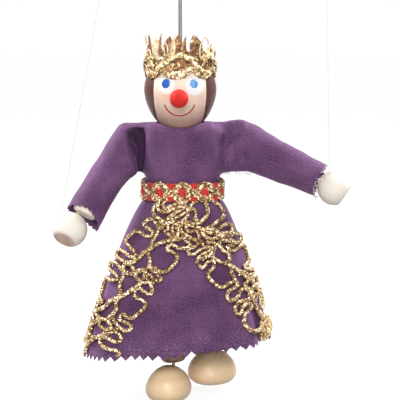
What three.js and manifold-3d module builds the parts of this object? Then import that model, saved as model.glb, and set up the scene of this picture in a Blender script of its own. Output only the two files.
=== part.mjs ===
import * as THREE from 'three';
import { mergeVertices } from 'three/addons/utils/BufferGeometryUtils.js';
import Module from 'manifold-3d';

const wasm = await Module();
wasm.setup();

// A wooden queen doll on a steel rod. X is the viewer's right, Y is away from the viewer and
// Z is up. The origin is the inner top of the rod's hanging loop. Millimetres and degrees.
const gap = 0.3;
const degree = Math.PI / 180;

const rod = { radius: 1, loopInner: 4, reach: 83.4 };
const link = { ring: 1.9, wire: 0.45, shank: 7 };

const headRadius = 20;
const nose = { radius: 5, x: -0.4, below: 2.9, proud: 2.1 };
const crown = { above: 7.3, band: 14, leaf: 10.4, notch: 0.6, lobe: 2.6, swell: 0.4, wall: 1.1, lean: 2.2,
  leaves: 11, lobes: 7 };

const bodyShift = 1.2;
const waistPower = 2.6;
const torso = { height: 34.1, width: 39.2, depth: 26, topWidth: 29, topDepth: 17 };
const cloth = 0.9;
const belt = { height: 11, thickness: 2.4, aboveHips: 4.6, edge: 0.6 };
const bodice = { rise: 13.7, sway: 2 };
const skirt = { length: 91.5, hemWidth: 103, hemDepth: 58, hemShift: -2.6, hemTilt: 4.6, flare: 0.74 };
const folds = [{ count: 7, phase: 0.5, depth: 1.7 }, { count: 11, phase: 2, depth: 1.02 }];
const trim = { width: 25, thickness: 2.2, seat: 0.55, scallop: 2.4, pitch: 31 };

const cordRadius = 1;
const limbRadius = 7;
const armLength = 45;
const armRound = 5;
const sleeveDepth = 0.84;
const hand = { radius: 9.6, flat: 7.1 };
const arms = [
  { side: 'left', sign: -1, out: 29.8, rise: 3.3, ball: 11, cuff: 10.2, sleeve: 50.5, drop: 58,
    forward: 22, handAt: 60.5, handLift: 2, handDroop: 17, handTurn: 18, tie: [0.35, 0.55, 0.76],
    stringLean: 0.19 },
  { side: 'right', sign: 1, out: 30.8, rise: 0.4, ball: 14.5, cuff: 9.6, sleeve: 48.5, drop: 23,
    forward: 8, handAt: 58.5, handLift: 0, handDroop: 10, handTurn: 0, tie: [-0.3, 0.5, 0.81],
    stringLean: 0.03 },
];
const string = { radius: 0.25, ring: 0.9, ringWire: 0.3, loop: 2.5, loopWire: 0.4, top: 5 };

const leg = { length: 83.3, round: 6, hipSpread: 11, ankle: 3 };
const foot = { width: 25.2, length: 28.6, height: 19, heel: 9 };
const legs = [
  { side: 'left', sign: -1, cord: 4.4, roll: 3.7, pitch: 2, yaw: 17 },
  { side: 'right', sign: 1, cord: 0.9, roll: 9.2, pitch: -7.2, yaw: 60 },
];

const colours = {
  steel: [0x6f6866, 0.4, 0.9],
  paleWood: [0xf3dcc6, 0.55, 0],
  redPaint: [0xdd443a, 0.35, 0],
  tanWood: [0xd9ab78, 0.35, 0],
  cord: [0xe9e2d4, 0.8, 0],
  purple: [0x66496a, 0.85, 0],
  gold: [0xc9a049, 0.35, 0.8],
  redGold: [0xb8683a, 0.45, 0.5],
};

// The group that holds every piece, and the helpers that add to it.
const doll = new THREE.Group();

function addPiece(name, geometry, colour, parent = doll) {
  const [tint, roughness, metalness] = colours[colour];
  const material = new THREE.MeshStandardMaterial({ color: tint, roughness, metalness });
  const mesh = new THREE.Mesh(geometry, material);
  mesh.name = name;
  parent.add(mesh);
  return mesh;
}

// A geometry with merged corners whose faces point out.
function closed(geometry) {
  geometry.deleteAttribute('normal');
  geometry.deleteAttribute('uv');
  const merged = mergeVertices(geometry, 1e-4);
  const place = merged.getAttribute('position');
  const index = Array.from(merged.index.array);
  const kept = [];
  let volume = 0;
  const corner = [new THREE.Vector3(), new THREE.Vector3(), new THREE.Vector3()];
  for (let i = 0; i < index.length; i += 3) {
    const [a, b, c] = index.slice(i, i + 3);
    if (a === b || b === c || c === a) continue;
    kept.push(a, b, c);
    corner.forEach((v, k) => v.fromBufferAttribute(place, [a, b, c][k]));
    volume += corner[0].dot(corner[1].clone().cross(corner[2]));
  }
  if (volume < 0) kept.reverse();
  merged.setIndex(kept);
  return merged;
}

// Rows of points, each row a ring with the same count. With open ends they are capped by a
// middle point; otherwise the last row joins the first and the surface is a closed tube.
function rings(rows, capped) {
  const count = rows[0].length;
  const points = rows.flat();
  const index = [];
  const pairs = capped ? rows.length - 1 : rows.length;
  for (let r = 0; r < pairs; r += 1) {
    const next = (r + 1) % rows.length;
    for (let i = 0; i < count; i += 1) {
      const j = (i + 1) % count;
      const [a, b, c, d] = [r * count + i, r * count + j, next * count + j, next * count + i];
      index.push(a, b, c, a, c, d);
    }
  }
  if (capped) {
    for (const r of [0, rows.length - 1]) {
      const middle = rows[r].reduce((sum, p) => sum.add(p), new THREE.Vector3());
      const at = points.push(middle.divideScalar(count)) - 1;
      for (let i = 0; i < count; i += 1) {
        const [a, b] = [r * count + i, r * count + ((i + 1) % count)];
        index.push(...(r === 0 ? [at, b, a] : [at, a, b]));
      }
    }
  }
  const geometry = new THREE.BufferGeometry().setFromPoints(points);
  geometry.setIndex(index);
  return closed(geometry);
}

// One ring round the vertical, wide across X and deep across Y; power 2 is an ellipse and a
// higher power is squarer. The angle starts at the front and runs to the viewer's right.
function oval(halfWidth, halfDepth, z, { power = 2, count = 48, x = 0 } = {}) {
  return Array.from({ length: count }, (_, i) => {
    const angle = (i / count) * 2 * Math.PI;
    const [sine, cosine] = [Math.sin(angle), Math.cos(angle)];
    const grow = (Math.abs(sine) ** power + Math.abs(cosine) ** power) ** (-1 / power);
    return new THREE.Vector3(x + halfWidth * sine * grow, -halfDepth * cosine * grow, z);
  });
}

function turned(profile, steps = 32) {
  const points = profile.map(([r, z]) => new THREE.Vector2(r, z));
  return closed(new THREE.LatheGeometry(points, steps).rotateX(Math.PI / 2));
}

// A wire ring standing in the XZ plane.
function wireRing(radius, wire, steps = 28, sides = 8) {
  return closed(new THREE.TorusGeometry(radius, wire, sides, steps).rotateX(Math.PI / 2));
}

function upright(radius, bottom, top, sides = 16) {
  return turned([[0, bottom], [radius, bottom], [radius, top], [0, top]], sides);
}

// A straight rod between two points.
function between(from, to, radius, sides = 12) {
  const geometry = new THREE.CylinderGeometry(radius, radius, from.distanceTo(to), sides);
  const way = to.clone().sub(from).normalize();
  const along = new THREE.Vector3(0, 1, 0);
  geometry.applyQuaternion(new THREE.Quaternion().setFromUnitVectors(along, way));
  const middle = from.clone().add(to).multiplyScalar(0.5);
  return closed(geometry.translate(middle.x, middle.y, middle.z));
}

function solid(geometry) {
  const ready = closed(geometry.clone());
  return new wasm.Manifold(new wasm.Mesh({
    numProp: 3,
    vertProperties: new Float32Array(ready.getAttribute('position').array),
    triVerts: new Uint32Array(ready.index.array),
  }));
}

function surface(body) {
  const mesh = body.getMesh();
  const geometry = new THREE.BufferGeometry();
  geometry.setAttribute('position', new THREE.BufferAttribute(mesh.vertProperties, 3));
  geometry.setIndex(new THREE.BufferAttribute(mesh.triVerts, 1));
  return geometry;
}

function joined(first, ...others) {
  return surface(others.reduce((whole, other) => whole.add(solid(other)), solid(first)));
}

function cut(first, ...others) {
  return surface(others.reduce((whole, other) => whole.subtract(solid(other)), solid(first)));
}

// Head: a ball with a slightly drawn-in jaw and a flat underside, bored for the rod.
const headShape = [
  [0.45, -1.02], [0.565, -0.925], [0.69, -0.785], [0.79, -0.645], [0.9, -0.42], [0.965, -0.22],
  [1, 0], [0.98, 0.225], [0.9, 0.475], [0.75, 0.7], [0.525, 0.9], [0.25, 1.015],
];
const underside = -headShape[0][1] * headRadius;
const headZ = underside - rod.reach;
const bore = rod.radius + gap;

function headWidth(height) {
  const share = height / headRadius;
  const above = headShape.findIndex(([, z]) => z > share);
  const [[r0, z0], [r1, z1]] = [headShape[above - 1], headShape[above]];
  return headRadius * (r0 + ((r1 - r0) * (share - z0)) / (z1 - z0));
}

const headOuter = headShape.map(([r, z]) => [r * headRadius, z * headRadius]);
const headTop = 1.035 * headRadius;
const headLoop = [[bore, -underside], ...headOuter, [bore, headTop], [bore, -underside]];
const headPiece = addPiece('head', turned(headLoop, 32), 'paleWood');
headPiece.position.z = headZ;

const roundHead = headOuter.map(([r, z]) => [r + gap, z]);
const clearHead = [[0, -underside - gap], ...roundHead, [0, headTop + gap]];
const noseY = -headWidth(-nose.below) - nose.proud;
const noseBall = new THREE.SphereGeometry(nose.radius, 20, 14);
noseBall.translate(nose.x, noseY, -nose.below);
const nosePiece = addPiece('nose', cut(noseBall, turned(clearHead, 40)), 'redPaint');
nosePiece.position.z = headZ;

// Rod: a hanging loop above, a straight length through the head and an eye below it.
const loopRadius = rod.loopInner + rod.radius;
const eyeZ = -rod.reach - gap - link.ring - link.wire;
const loopWire = wireRing(loopRadius, rod.radius, 24, 8).translate(0, 0, -rod.loopInner);
const shaft = upright(rod.radius, eyeZ + link.ring, -rod.loopInner - loopRadius);
const lowerEye = wireRing(link.ring, link.wire, 20, 6).translate(0, 0, eyeZ);
addPiece('control_rod', joined(loopWire, shaft, lowerEye), 'steel');

// Neck: a wire link hangs in the rod's eye, and the torso's screw eye hangs in the link.
const linkPitch = 2 * (link.ring - link.wire) - gap;
const linkZ = eyeZ - linkPitch;
const screwZ = linkZ - linkPitch;
const torsoTop = screwZ - link.ring - link.wire - gap;
const neckRing = wireRing(link.ring, link.wire, 20, 6).rotateZ(90 * degree);
addPiece('neck_link', neckRing, 'steel').position.z = linkZ;
const shank = upright(link.wire, torsoTop - link.shank, screwZ - link.ring, 8);
const screwEye = wireRing(link.ring, link.wire, 20, 6).translate(0, 0, screwZ);
addPiece('torso_eye', joined(screwEye, shank), 'steel');

// Torso: a shouldered block that widens to the waist, drilled for the screw eye.
const torsoBottom = torsoTop - torso.height;
const shoulderZ = torsoTop - 0.33 * torso.height;
const ribsZ = torsoTop - 0.48 * torso.height;
const waist = { power: waistPower, x: bodyShift, count: 48 };
const torsoRows = [
  [torso.topWidth / 2, torso.topDepth / 2, torsoTop],
  [0.3 * torso.topWidth + 0.2 * torso.width, 0.22 * torso.topDepth + 0.28 * torso.depth, shoulderZ],
  [torso.width / 2, torso.depth / 2, ribsZ],
  [torso.width / 2, torso.depth / 2, torsoBottom],
].map(([w, d, z]) => oval(w, d, z, waist));
const screwHole = upright(link.wire + gap, torsoTop - link.shank - gap, torsoTop + gap, 8);
addPiece('torso_block', cut(rings(torsoRows, true), screwHole), 'paleWood');

// Dress body: a thin shell over the torso, cut round the head and round the sleeve tops.
const waistWidth = torso.width / 2 + gap;
const waistDepth = torso.depth / 2 + gap;
const beltTop = torsoBottom + belt.aboveHips + belt.height;
const seamZ = beltTop - belt.height / 2;
const ridgeZ = torsoTop + bodice.rise;

function waistRing(z, outset) {
  return oval(waistWidth + cloth + outset, waistDepth + cloth + outset, z, waist);
}

// Shares of the waist's half width and half depth, and of the way down from the shoulders' ridge
// to the torso's own shoulders.
const bodiceShape = [
  [0.77, 0.176, 0], [0.923, 0.352, 0.064], [0.986, 0.6, 0.2], [1, 0.79, 0.48], [1, 0.915, 1],
];

function bodiceRows(inset, low) {
  const yoke = bodiceShape.map(([w, d, t], k) => {
    const closer = k < 3 ? 1.8 * inset : inset;
    const drop = k < 3 ? 1.5 * inset : 0;
    return oval(w * (waistWidth + cloth) - closer, d * (waistDepth + cloth) - closer,
      ridgeZ + (shoulderZ - ridgeZ) * t - drop, waist);
  });
  return [...yoke, waistRing(ribsZ + gap, -inset), waistRing(low, -inset)];
}

// The ball that a sleeve top turns in, about its shoulder.
const shoulders = arms.map((arm) => (
  new THREE.Vector3(bodyShift + arm.sign * arm.out, 0, torsoTop + arm.rise)
));

function armhole(arm, n) {
  const place = shoulders[n];
  return new THREE.SphereGeometry(arm.ball + 2 * gap, 24, 14).translate(place.x, place.y, place.z);
}

// The neckline clears the head while the body nods and tilts under it.
const jaw = headOuter.filter(([, z]) => z < 0).map(([r, z], k) => (
  [r + bodice.sway, headZ + z - (k === 0 ? bodice.sway : bodice.sway / 2)]
));
const neckline = turned([
  [0, headZ - underside - bodice.sway], ...jaw, [headRadius + bodice.sway, headZ], [0, headZ],
], 24);
const outerBodice = rings(bodiceRows(0, seamZ + gap / 2), true);
const innerBodice = rings(bodiceRows(cloth, seamZ - belt.height / 2), true);
addPiece('bodice', cut(outerBodice, innerBodice, neckline, ...arms.map(armhole)), 'purple');

// Skirt: a flared shell with soft folds that grow towards a slanted hem.
const skirtTop = seamZ - gap / 2;
const flareZ = beltTop - belt.height;
const hemZ = skirtTop - skirt.length;

function skirtPoint(angle, share, outset) {
  const top = [waistWidth + cloth, waistDepth + cloth];
  const flare = share ** skirt.flare;
  const [sine, cosine] = [Math.sin(angle), Math.cos(angle)];
  const wave = folds.reduce((sum, f) => sum + f.depth * Math.cos(f.count * angle + f.phase), 0);
  const fold = flare * share * wave;
  const roundBy = 1 / 3;
  const power = waistPower - (waistPower - 2) * Math.min(1, share / roundBy);
  const grow = (Math.abs(sine) ** power + Math.abs(cosine) ** power) ** (-1 / power);
  const wide = top[0] + (skirt.hemWidth / 2 - top[0]) * flare + fold + outset;
  const deep = top[1] + (skirt.hemDepth / 2 - top[1]) * flare + fold + outset;
  const x = bodyShift + (skirt.hemShift - bodyShift) * share + wide * sine * grow;
  const z = flareZ + (hemZ - flareZ) * share + skirt.hemTilt * share * share * sine;
  return new THREE.Vector3(x, -deep * cosine * grow, z);
}

function skirtRing(share, outset) {
  const turn = (2 * Math.PI) / waist.count;
  return Array.from({ length: waist.count }, (_, i) => skirtPoint(i * turn, share, outset));
}

const shares = [0, 0.04, 0.12, 0.25, 0.42, 0.62, 0.82, 1];
const skirtWall = (outset) => [waistRing(skirtTop, outset), ...shares.map((s) => skirtRing(s, outset))];
addPiece('skirt', rings([...skirtWall(0), ...skirtWall(-cloth).reverse()], false), 'purple');

// Belt: a braid band round the waist, over the seam of the dress.
const beltOuter = gap + belt.thickness;
const beltBottom = flareZ + gap;
const beltRows = [
  [beltTop, gap], [beltTop, beltOuter - belt.edge], [beltTop - belt.edge, beltOuter],
  [beltBottom + belt.edge, beltOuter], [beltBottom, beltOuter - belt.edge], [beltBottom, gap],
];
addPiece('belt', rings(beltRows.map(([z, outset]) => waistRing(z, outset)), false), 'redGold');

// Gold trim: two scalloped strips that part below the belt and run to the hem's corners.
const trimRuns = [
  { from: [-14, 0.07], to: [-61, 0.97], bow: -1 },
  { from: [8, 0.05], to: [62, 0.92], bow: 6 },
];
const trimReach = [0.06, 0.985];

function trimStrip({ from, to, bow }) {
  const steps = 22;
  const across = 6;
  const nudge = 0.01;
  const start = skirtPoint(from[0] * degree, from[1], 0);
  const end = skirtPoint(to[0] * degree, to[1], 0);
  const length = start.distanceTo(end);
  const rows = [];
  for (let k = 0; k <= steps; k += 1) {
    const t = k / steps;
    const bend = 4 * bow * t * (1 - t);
    const angle = (from[0] + (to[0] - from[0]) * t + bend) * degree;
    const share = from[1] + (to[1] - from[1]) * t;
    const bulge = Math.abs(Math.sin((Math.PI * length * t) / trim.pitch));
    const half = trim.width / 2 + trim.scallop * (bulge - 0.5);
    const here = skirtPoint(angle, share, 0);
    const perAngle = skirtPoint(angle + nudge, share, 0).distanceTo(here) / nudge;
    const perShare = skirtPoint(angle, share - nudge, 0).distanceTo(here) / nudge;
    const round = (to[0] - from[0]) * degree * perAngle;
    const side = new THREE.Vector2((to[1] - from[1]) * perShare, -round).normalize();
    const line = Array.from({ length: across + 1 }, (_, i) => (2 * i) / across - 1);
    const at = (v, outset) => {
      const wanted = share + (side.y * v * half) / perShare;
      const kept = Math.min(Math.max(wanted, trimReach[0]), trimReach[1]);
      return skirtPoint(angle + (side.x * v * half) / perAngle, kept, outset);
    };
    const outer = line.map((v) => at(v, trim.seat + trim.thickness));
    const inner = line.map((v) => at(-v, trim.seat));
    rows.push([...outer, ...inner]);
  }
  return rings(rows, true);
}

addPiece('skirt_trim', joined(...trimRuns.map(trimStrip)), 'gold');

// Crown: a foil band with a scalloped lower edge and a ring of upright leaves.
const crownZ = headZ + crown.above;
const crownInner = headWidth(crown.above) + gap;
const crownTop = crown.band + crown.leaf;

function crownRing(height, outset, edge) {
  const count = crown.leaves * 6;
  return Array.from({ length: count }, (_, i) => {
    const angle = (i / count) * 2 * Math.PI;
    const leaf = Math.abs(Math.sin((crown.leaves * angle) / 2)) ** 0.6;
    const lobe = Math.abs(Math.cos((crown.lobes * angle) / 2));
    let z = height;
    if (edge === 'leaf') z = crown.band + crown.notch + (crown.leaf - crown.notch) * leaf;
    if (edge === 'lobe') z = crown.lobe * (1 - lobe);
    const radius = crownInner + outset - (crown.lean * z) / crownTop;
    return new THREE.Vector3(radius * Math.sin(angle), -radius * Math.cos(angle), crownZ + z);
  });
}

const crownSwell = 1.5 * crown.lobe;
const crownRows = [
  crownRing(0, crown.wall, 'lobe'), crownRing(crownSwell, crown.wall + crown.swell),
  crownRing(crown.band, crown.wall), crownRing(0, crown.wall, 'leaf'), crownRing(0, 0, 'leaf'),
  crownRing(crown.band, 0), crownRing(crownSwell, 0), crownRing(0, 0, 'lobe'),
];
addPiece('crown', rings(crownRows, false), 'gold');

// Turned limbs and hands, made upright.
function dowel(radius, length, round) {
  const arc = [0, 30, 60, 90].map((a) => [Math.sin(a * degree), Math.cos(a * degree)]);
  const low = arc.map(([s, c]) => [radius - round + round * s, round - round * c]);
  const high = arc.map(([s, c]) => [radius - round + round * s, length - round + round * c]).reverse();
  return turned([[0, 0], ...low, ...high, [0, length]], 20);
}

function handBall() {
  const steps = 9;
  const last = Math.acos(hand.flat / hand.radius);
  const arc = Array.from({ length: steps }, (_, k) => {
    const a = Math.PI - ((Math.PI - last) * k) / (steps - 1);
    return [hand.radius * Math.sin(a), hand.radius * Math.cos(a)];
  });
  return turned([[0, -hand.radius], ...arc.slice(1), [0, hand.flat]], 24);
}

// Sleeve: a ball at the shoulder that runs into a tapering tube along +X, open at the cuff
// and open behind and below the shoulder, where the cord comes in.
function sleeve(arm) {
  const rows = (inset, reach) => {
    const list = [88, 66, 44, 22].map((a) => (
      [-Math.sin(a * degree), Math.cos(a * degree)].map((s) => s * (arm.ball - inset))
    ));
    for (const t of [0, 0.12, 0.3, 0.5, 0.75, 1]) {
      const sag = 1 + 0.05 * Math.sin(9 * t);
      const taper = 1 - Math.exp(-2.4 * t) * (1 - t);
      list.push([t * reach, (arm.ball + (arm.cuff - arm.ball) * taper) * sag - inset]);
    }
    return list.map(([x, r]) => oval(r, r * sleeveDepth, x, { count: 28 }).map(
      (p) => new THREE.Vector3(p.z, p.y, p.x),
    ));
  };
  const outer = rings(rows(0, arm.sleeve), true);
  const inner = rings(rows(cloth, arm.sleeve + cloth), true);
  const room = new THREE.BoxGeometry(arm.ball, 3 * arm.ball, 1.7 * arm.ball);
  room.translate(-0.54 * arm.ball, 0, -0.25 * arm.ball);
  const underarm = new THREE.BoxGeometry(1.4 * arm.ball, 3 * arm.ball, 0.8 * arm.ball);
  underarm.translate(-0.3 * arm.ball, 0, -0.85 * arm.ball);
  return cut(outer, inner, room, underarm);
}

// Arms: each hangs from a cord that leaves the torso, and carries a sleeve and a hand.
arms.forEach((arm, n) => {
  const place = shoulders[n];
  const faceX = bodyShift + arm.sign * (torso.topWidth / 2 + 0.9 * cordRadius + gap);
  const cordIn = new THREE.Vector3(faceX, 0, torsoTop - 1.5 * cordRadius);
  addPiece(`shoulder_cord_${arm.side}`, between(cordIn, place, cordRadius, 10), 'cord');

  const group = new THREE.Group();
  group.position.copy(place);
  const turn = arm.sign > 0 ? -arm.forward : 180 + arm.forward;
  group.rotation.set(0, arm.sign * arm.drop * degree, turn * degree, 'YXZ');
  doll.add(group);
  const start = cordRadius + gap;
  const dowelEnd = start + armLength;
  const wood = dowel(limbRadius, armLength, armRound).rotateY(90 * degree).translate(start, 0, 0);
  addPiece(`arm_dowel_${arm.side}`, wood, 'paleWood', group);
  addPiece(`sleeve_${arm.side}`, sleeve(arm), 'purple', group);

  const palmAt = new THREE.Vector3(arm.handAt, 0, arm.handLift);
  const wristFrom = new THREE.Vector3(dowelEnd + gap, 0, 0);
  const wristWay = wristFrom.clone().sub(palmAt).normalize();
  const wristTo = palmAt.clone().addScaledVector(wristWay, hand.radius + gap);
  addPiece(`wrist_cord_${arm.side}`, between(wristFrom, wristTo, cordRadius, 10), 'cord', group);
  const ball = addPiece(`hand_${arm.side}`, handBall().rotateY(90 * degree), 'paleWood', group);
  ball.position.copy(palmAt);
  ball.rotation.set(0, arm.handDroop * degree, arm.handTurn * degree, 'YXZ');

  // The string runs from a ring on top of the hand up to a small loop beside the rod's top.
  group.updateMatrixWorld(true);
  const palm = group.localToWorld(palmAt.clone());
  const [out, front, up] = arm.tie;
  const tie = new THREE.Vector3(arm.sign * out, -front, up).normalize();
  const ringReach = string.ring + string.ringWire;
  const ringAt = tie.multiplyScalar(hand.radius + gap + ringReach).add(palm);
  const handRing = wireRing(string.ring, string.ringWire, 16, 6);
  addPiece(`string_ring_${arm.side}`, handRing, 'cord').position.copy(ringAt);
  const low = ringAt.clone().add(new THREE.Vector3(0, 0, ringReach + gap));
  const topZ = -string.top;
  const high = new THREE.Vector3(low.x - arm.sign * arm.stringLean * (topZ - low.z), low.y, topZ);
  addPiece(`string_${arm.side}`, between(low, high, string.radius, 8), 'cord');
  const loopAt = high.clone().add(new THREE.Vector3(0, 0, string.loop + string.loopWire + gap));
  const loopPiece = addPiece(`string_loop_${arm.side}`,
    wireRing(string.loop, string.loopWire, 20, 6), 'cord');
  loopPiece.position.copy(loopAt);
});

// Legs: each hangs from a cord under the torso and carries a foot under its heel end.
// Each row of a foot is its share of the height and its share of the sole's width and length.
const footShape = [
  [0, 0.86], [0.06, 0.95], [0.18, 1], [0.4, 0.97], [0.6, 0.87], [0.78, 0.69], [0.9, 0.48], [0.97, 0.25],
];

function footBody() {
  const rows = footShape.map(([h, s]) => (
    oval((s * foot.width) / 2, (s * foot.length) / 2, h * foot.height, { count: 28, power: 2.15 })
  ));
  return rings(rows, true);
}

// How high the foot stands under the ankle cord, at the heel distance behind its middle.
const heelReach = (foot.heel - cordRadius) / (foot.length / 2);
const widest = footShape.findIndex(([, s]) => s === 1);
const heelRow = footShape.findIndex(([, s], k) => k > widest && s < heelReach);
const [[lowH, lowS], [highH, highS]] = [footShape[heelRow - 1], footShape[heelRow]];
const heelHeight = foot.height * (lowH + ((highH - lowH) * (lowS - heelReach)) / (lowS - highS));

legs.forEach((side) => {
  const hip = new THREE.Vector3(bodyShift + side.sign * leg.hipSpread, 0, torsoBottom - gap);
  const group = new THREE.Group();
  group.position.copy(hip);
  group.rotation.set(-side.pitch * degree, -side.roll * degree, 0);
  doll.add(group);
  const cordFrom = new THREE.Vector3(0, 0, -side.cord + gap);
  const cordTo = new THREE.Vector3(0, 0, -0.2 * cordRadius);
  addPiece(`hip_cord_${side.side}`, between(cordFrom, cordTo, cordRadius, 10), 'cord', group);
  const wood = dowel(limbRadius, leg.length, leg.round).translate(0, 0, -side.cord - leg.length);
  addPiece(`leg_dowel_${side.side}`, wood, 'tanWood', group);
  group.updateMatrixWorld(true);
  const tip = group.localToWorld(new THREE.Vector3(0, 0, -side.cord - leg.length));

  const ankle = new THREE.Group();
  ankle.position.set(tip.x, tip.y, tip.z);
  ankle.rotation.z = -side.yaw * degree;
  doll.add(ankle);
  const ankleCord = between(new THREE.Vector3(0, 0, -gap), new THREE.Vector3(0, 0, gap - leg.ankle),
    cordRadius, 10);
  addPiece(`ankle_cord_${side.side}`, ankleCord, 'cord', ankle);
  const footPiece = addPiece(`foot_${side.side}`, footBody(), 'tanWood', ankle);
  footPiece.position.set(0, -foot.heel, -leg.ankle - heelHeight);
});

export default doll;
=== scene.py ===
import math
import random

import bmesh
import bpy
from mathutils import Matrix, Vector, noise
from mathutils.bvhtree import BVHTree


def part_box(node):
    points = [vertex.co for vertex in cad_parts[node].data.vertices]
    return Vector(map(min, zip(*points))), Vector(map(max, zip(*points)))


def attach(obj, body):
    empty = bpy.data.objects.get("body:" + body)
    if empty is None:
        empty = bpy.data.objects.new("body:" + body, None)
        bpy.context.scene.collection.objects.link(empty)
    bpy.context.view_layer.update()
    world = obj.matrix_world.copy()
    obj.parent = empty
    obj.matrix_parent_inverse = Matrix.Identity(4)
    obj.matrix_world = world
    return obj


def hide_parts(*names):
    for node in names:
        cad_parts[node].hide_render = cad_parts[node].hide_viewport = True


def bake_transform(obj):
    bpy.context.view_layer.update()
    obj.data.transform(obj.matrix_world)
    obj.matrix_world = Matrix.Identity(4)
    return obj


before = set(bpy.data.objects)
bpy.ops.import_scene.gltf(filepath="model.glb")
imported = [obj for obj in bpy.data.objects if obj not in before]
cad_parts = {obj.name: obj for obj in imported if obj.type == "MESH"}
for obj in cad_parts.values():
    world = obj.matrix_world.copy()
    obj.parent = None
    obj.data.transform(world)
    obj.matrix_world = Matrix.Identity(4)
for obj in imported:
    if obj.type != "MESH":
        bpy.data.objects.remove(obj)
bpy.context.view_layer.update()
mm = 0.001
scene = bpy.context.scene
print("frame loaded:", len(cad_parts), "nodes")


# Helpers that several pieces share.
def point(x, y, z):
    return Vector((x, y, z)) * mm


def addPiece(name, mesh, material):
    piece = bpy.data.objects.new(name, mesh)
    mesh.materials.clear()
    mesh.materials.append(material)
    scene.collection.objects.link(piece)
    return piece


def meshFrom(name, bm, smooth=True):
    mesh = bpy.data.meshes.new(name)
    bm.to_mesh(mesh)
    bm.free()
    if smooth:
        mesh.shade_smooth()
    return mesh


def rideOn(piece, body, slot, *nodes):
    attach(piece, body)
    if nodes:
        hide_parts(*nodes)
    return piece


def evaluated(name, data, modifiers=()):
    # The mesh that a curve or a mesh with these modifiers comes to.
    holder = bpy.data.objects.new(name + "Holder", data)
    scene.collection.objects.link(holder)
    for kind, values in modifiers:
        modifier = holder.modifiers.new(kind.lower(), kind)
        for key, value in values.items():
            setattr(modifier, key, value)
    graph = bpy.context.evaluated_depsgraph_get()
    made = bpy.data.meshes.new_from_object(holder.evaluated_get(graph))
    bpy.data.objects.remove(holder)
    made.name = name
    return made


def smoothLine(points, step):
    # Evenly spaced points along a Catmull-Rom curve through the given ones.
    count = len(points)
    dense = []
    for i in range(count - 1):
        a, b, c, d = (points[min(max(i + k, 0), count - 1)] for k in (-1, 0, 1, 2))
        parts = max(2, math.ceil((c - b).length / (0.5 * step)))
        for k in range(parts):
            t = k / parts
            dense.append(0.5 * (2 * b + (c - a) * t + (2 * a - 5 * b + 4 * c - d) * t * t
                                + (3 * b - a - 3 * c + d) * t ** 3))
    dense.append(points[-1])
    lengths = [0.0]
    for p, q in zip(dense, dense[1:]):
        lengths.append(lengths[-1] + (q - p).length)
    total = max(2, round(lengths[-1] / step))
    made, k = [], 0
    for n in range(total + 1):
        wanted = lengths[-1] * n / total
        while k < len(lengths) - 2 and lengths[k + 1] < wanted:
            k += 1
        share = (wanted - lengths[k]) / max(lengths[k + 1] - lengths[k], 1e-12)
        made.append(dense[k].lerp(dense[k + 1], min(share, 1.0)))
    return made


def sideways(line):
    # Two directions across the line at each point, carried along without turning.
    made = []
    side = None
    for i, p in enumerate(line):
        way = (line[min(i + 1, len(line) - 1)] - line[max(i - 1, 0)]).normalized()
        if side is None:
            side = way.orthogonal()
        side = (side - way * side.dot(way)).normalized()
        made.append((side, way.cross(side)))
    return made


def strandsOf(line, strands, offset, pitch, start=0.0):
    # Strands that wind round a line, each a list of points.
    axes = sideways(line)
    turned = [start]
    for p, q in zip(line, line[1:]):
        turned.append(turned[-1] + 2 * math.pi * (q - p).length / pitch)
    made = []
    for k in range(strands):
        phase = 2 * math.pi * k / strands
        made.append([p + offset * (u * math.cos(a + phase) + v * math.sin(a + phase))
                     for p, (u, v), a in zip(line, axes, turned)])
    return made


def cordMesh(name, lines, radius, sides, cyclic=False):
    # Round cord along each line of points.
    curve = bpy.data.curves.new(name, "CURVE")
    curve.dimensions = "3D"
    curve.bevel_depth = radius
    curve.bevel_resolution = max(0, (sides - 4) // 2)
    curve.use_fill_caps = not cyclic
    for line in lines:
        spline = curve.splines.new("POLY")
        spline.points.add(len(line) - 1)
        spline.points.foreach_set("co", [c for p in line for c in (*p, 1)])
        spline.use_cyclic_u = cyclic
    mesh = evaluated(name, curve)
    mesh.shade_smooth()
    return mesh


def turnedMesh(bm, profile, steps, place=Matrix()):
    # Spins a profile of (radius, height) in mm round Z and adds it to bm.
    verts = [bm.verts.new(point(r, 0, z)) for r, z in profile]
    edges = [bm.edges.new(pair) for pair in zip(verts, verts[1:])]
    bmesh.ops.spin(bm, geom=verts + edges, cent=(0, 0, 0), axis=(0, 0, 1),
                   angle=2 * math.pi, steps=steps, use_merge=True, use_duplicate=False)
    bmesh.ops.remove_doubles(bm, verts=bm.verts, dist=1e-6)
    bmesh.ops.recalc_face_normals(bm, faces=bm.faces)
    bmesh.ops.transform(bm, matrix=place, verts=bm.verts)


def turned(name, profile, steps, place):
    bm = bmesh.new()
    turnedMesh(bm, profile, steps, place)
    return meshFrom(name, bm)


def loft(bm, ringList):
    # A closed solid through rings of points, with flat ends.
    verts = bmesh.ops.create_circle(bm, cap_ends=True, segments=len(ringList[0]), radius=1)["verts"]
    edges = list({e for v in verts for e in v.link_edges})
    for vert, p in zip(verts, ringList[0]):
        vert.co = p
    for ring in ringList[1:]:
        made = bmesh.ops.extrude_edge_only(bm, edges=edges)["geom"]
        fresh = {v for v in made if isinstance(v, bmesh.types.BMVert)}
        verts = [next(e.other_vert(v) for e in v.link_edges if e.other_vert(v) in fresh) for v in verts]
        edges = [e for e in made if isinstance(e, bmesh.types.BMEdge) and all(v in fresh for v in e.verts)]
        for vert, p in zip(verts, ring):
            vert.co = p
    bmesh.ops.contextual_create(bm, geom=edges)


def bump(t, centre, width):
    # 1 at the centre, and soon 0 on both sides.
    return math.exp(-((t - centre) / width) ** 2)


def smoothStep(t):
    # 0 up to 0 and 1 from 1 on, with a soft start and end.
    t = min(max(t, 0.0), 1.0)
    return t * t * (3 - 2 * t)


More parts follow.
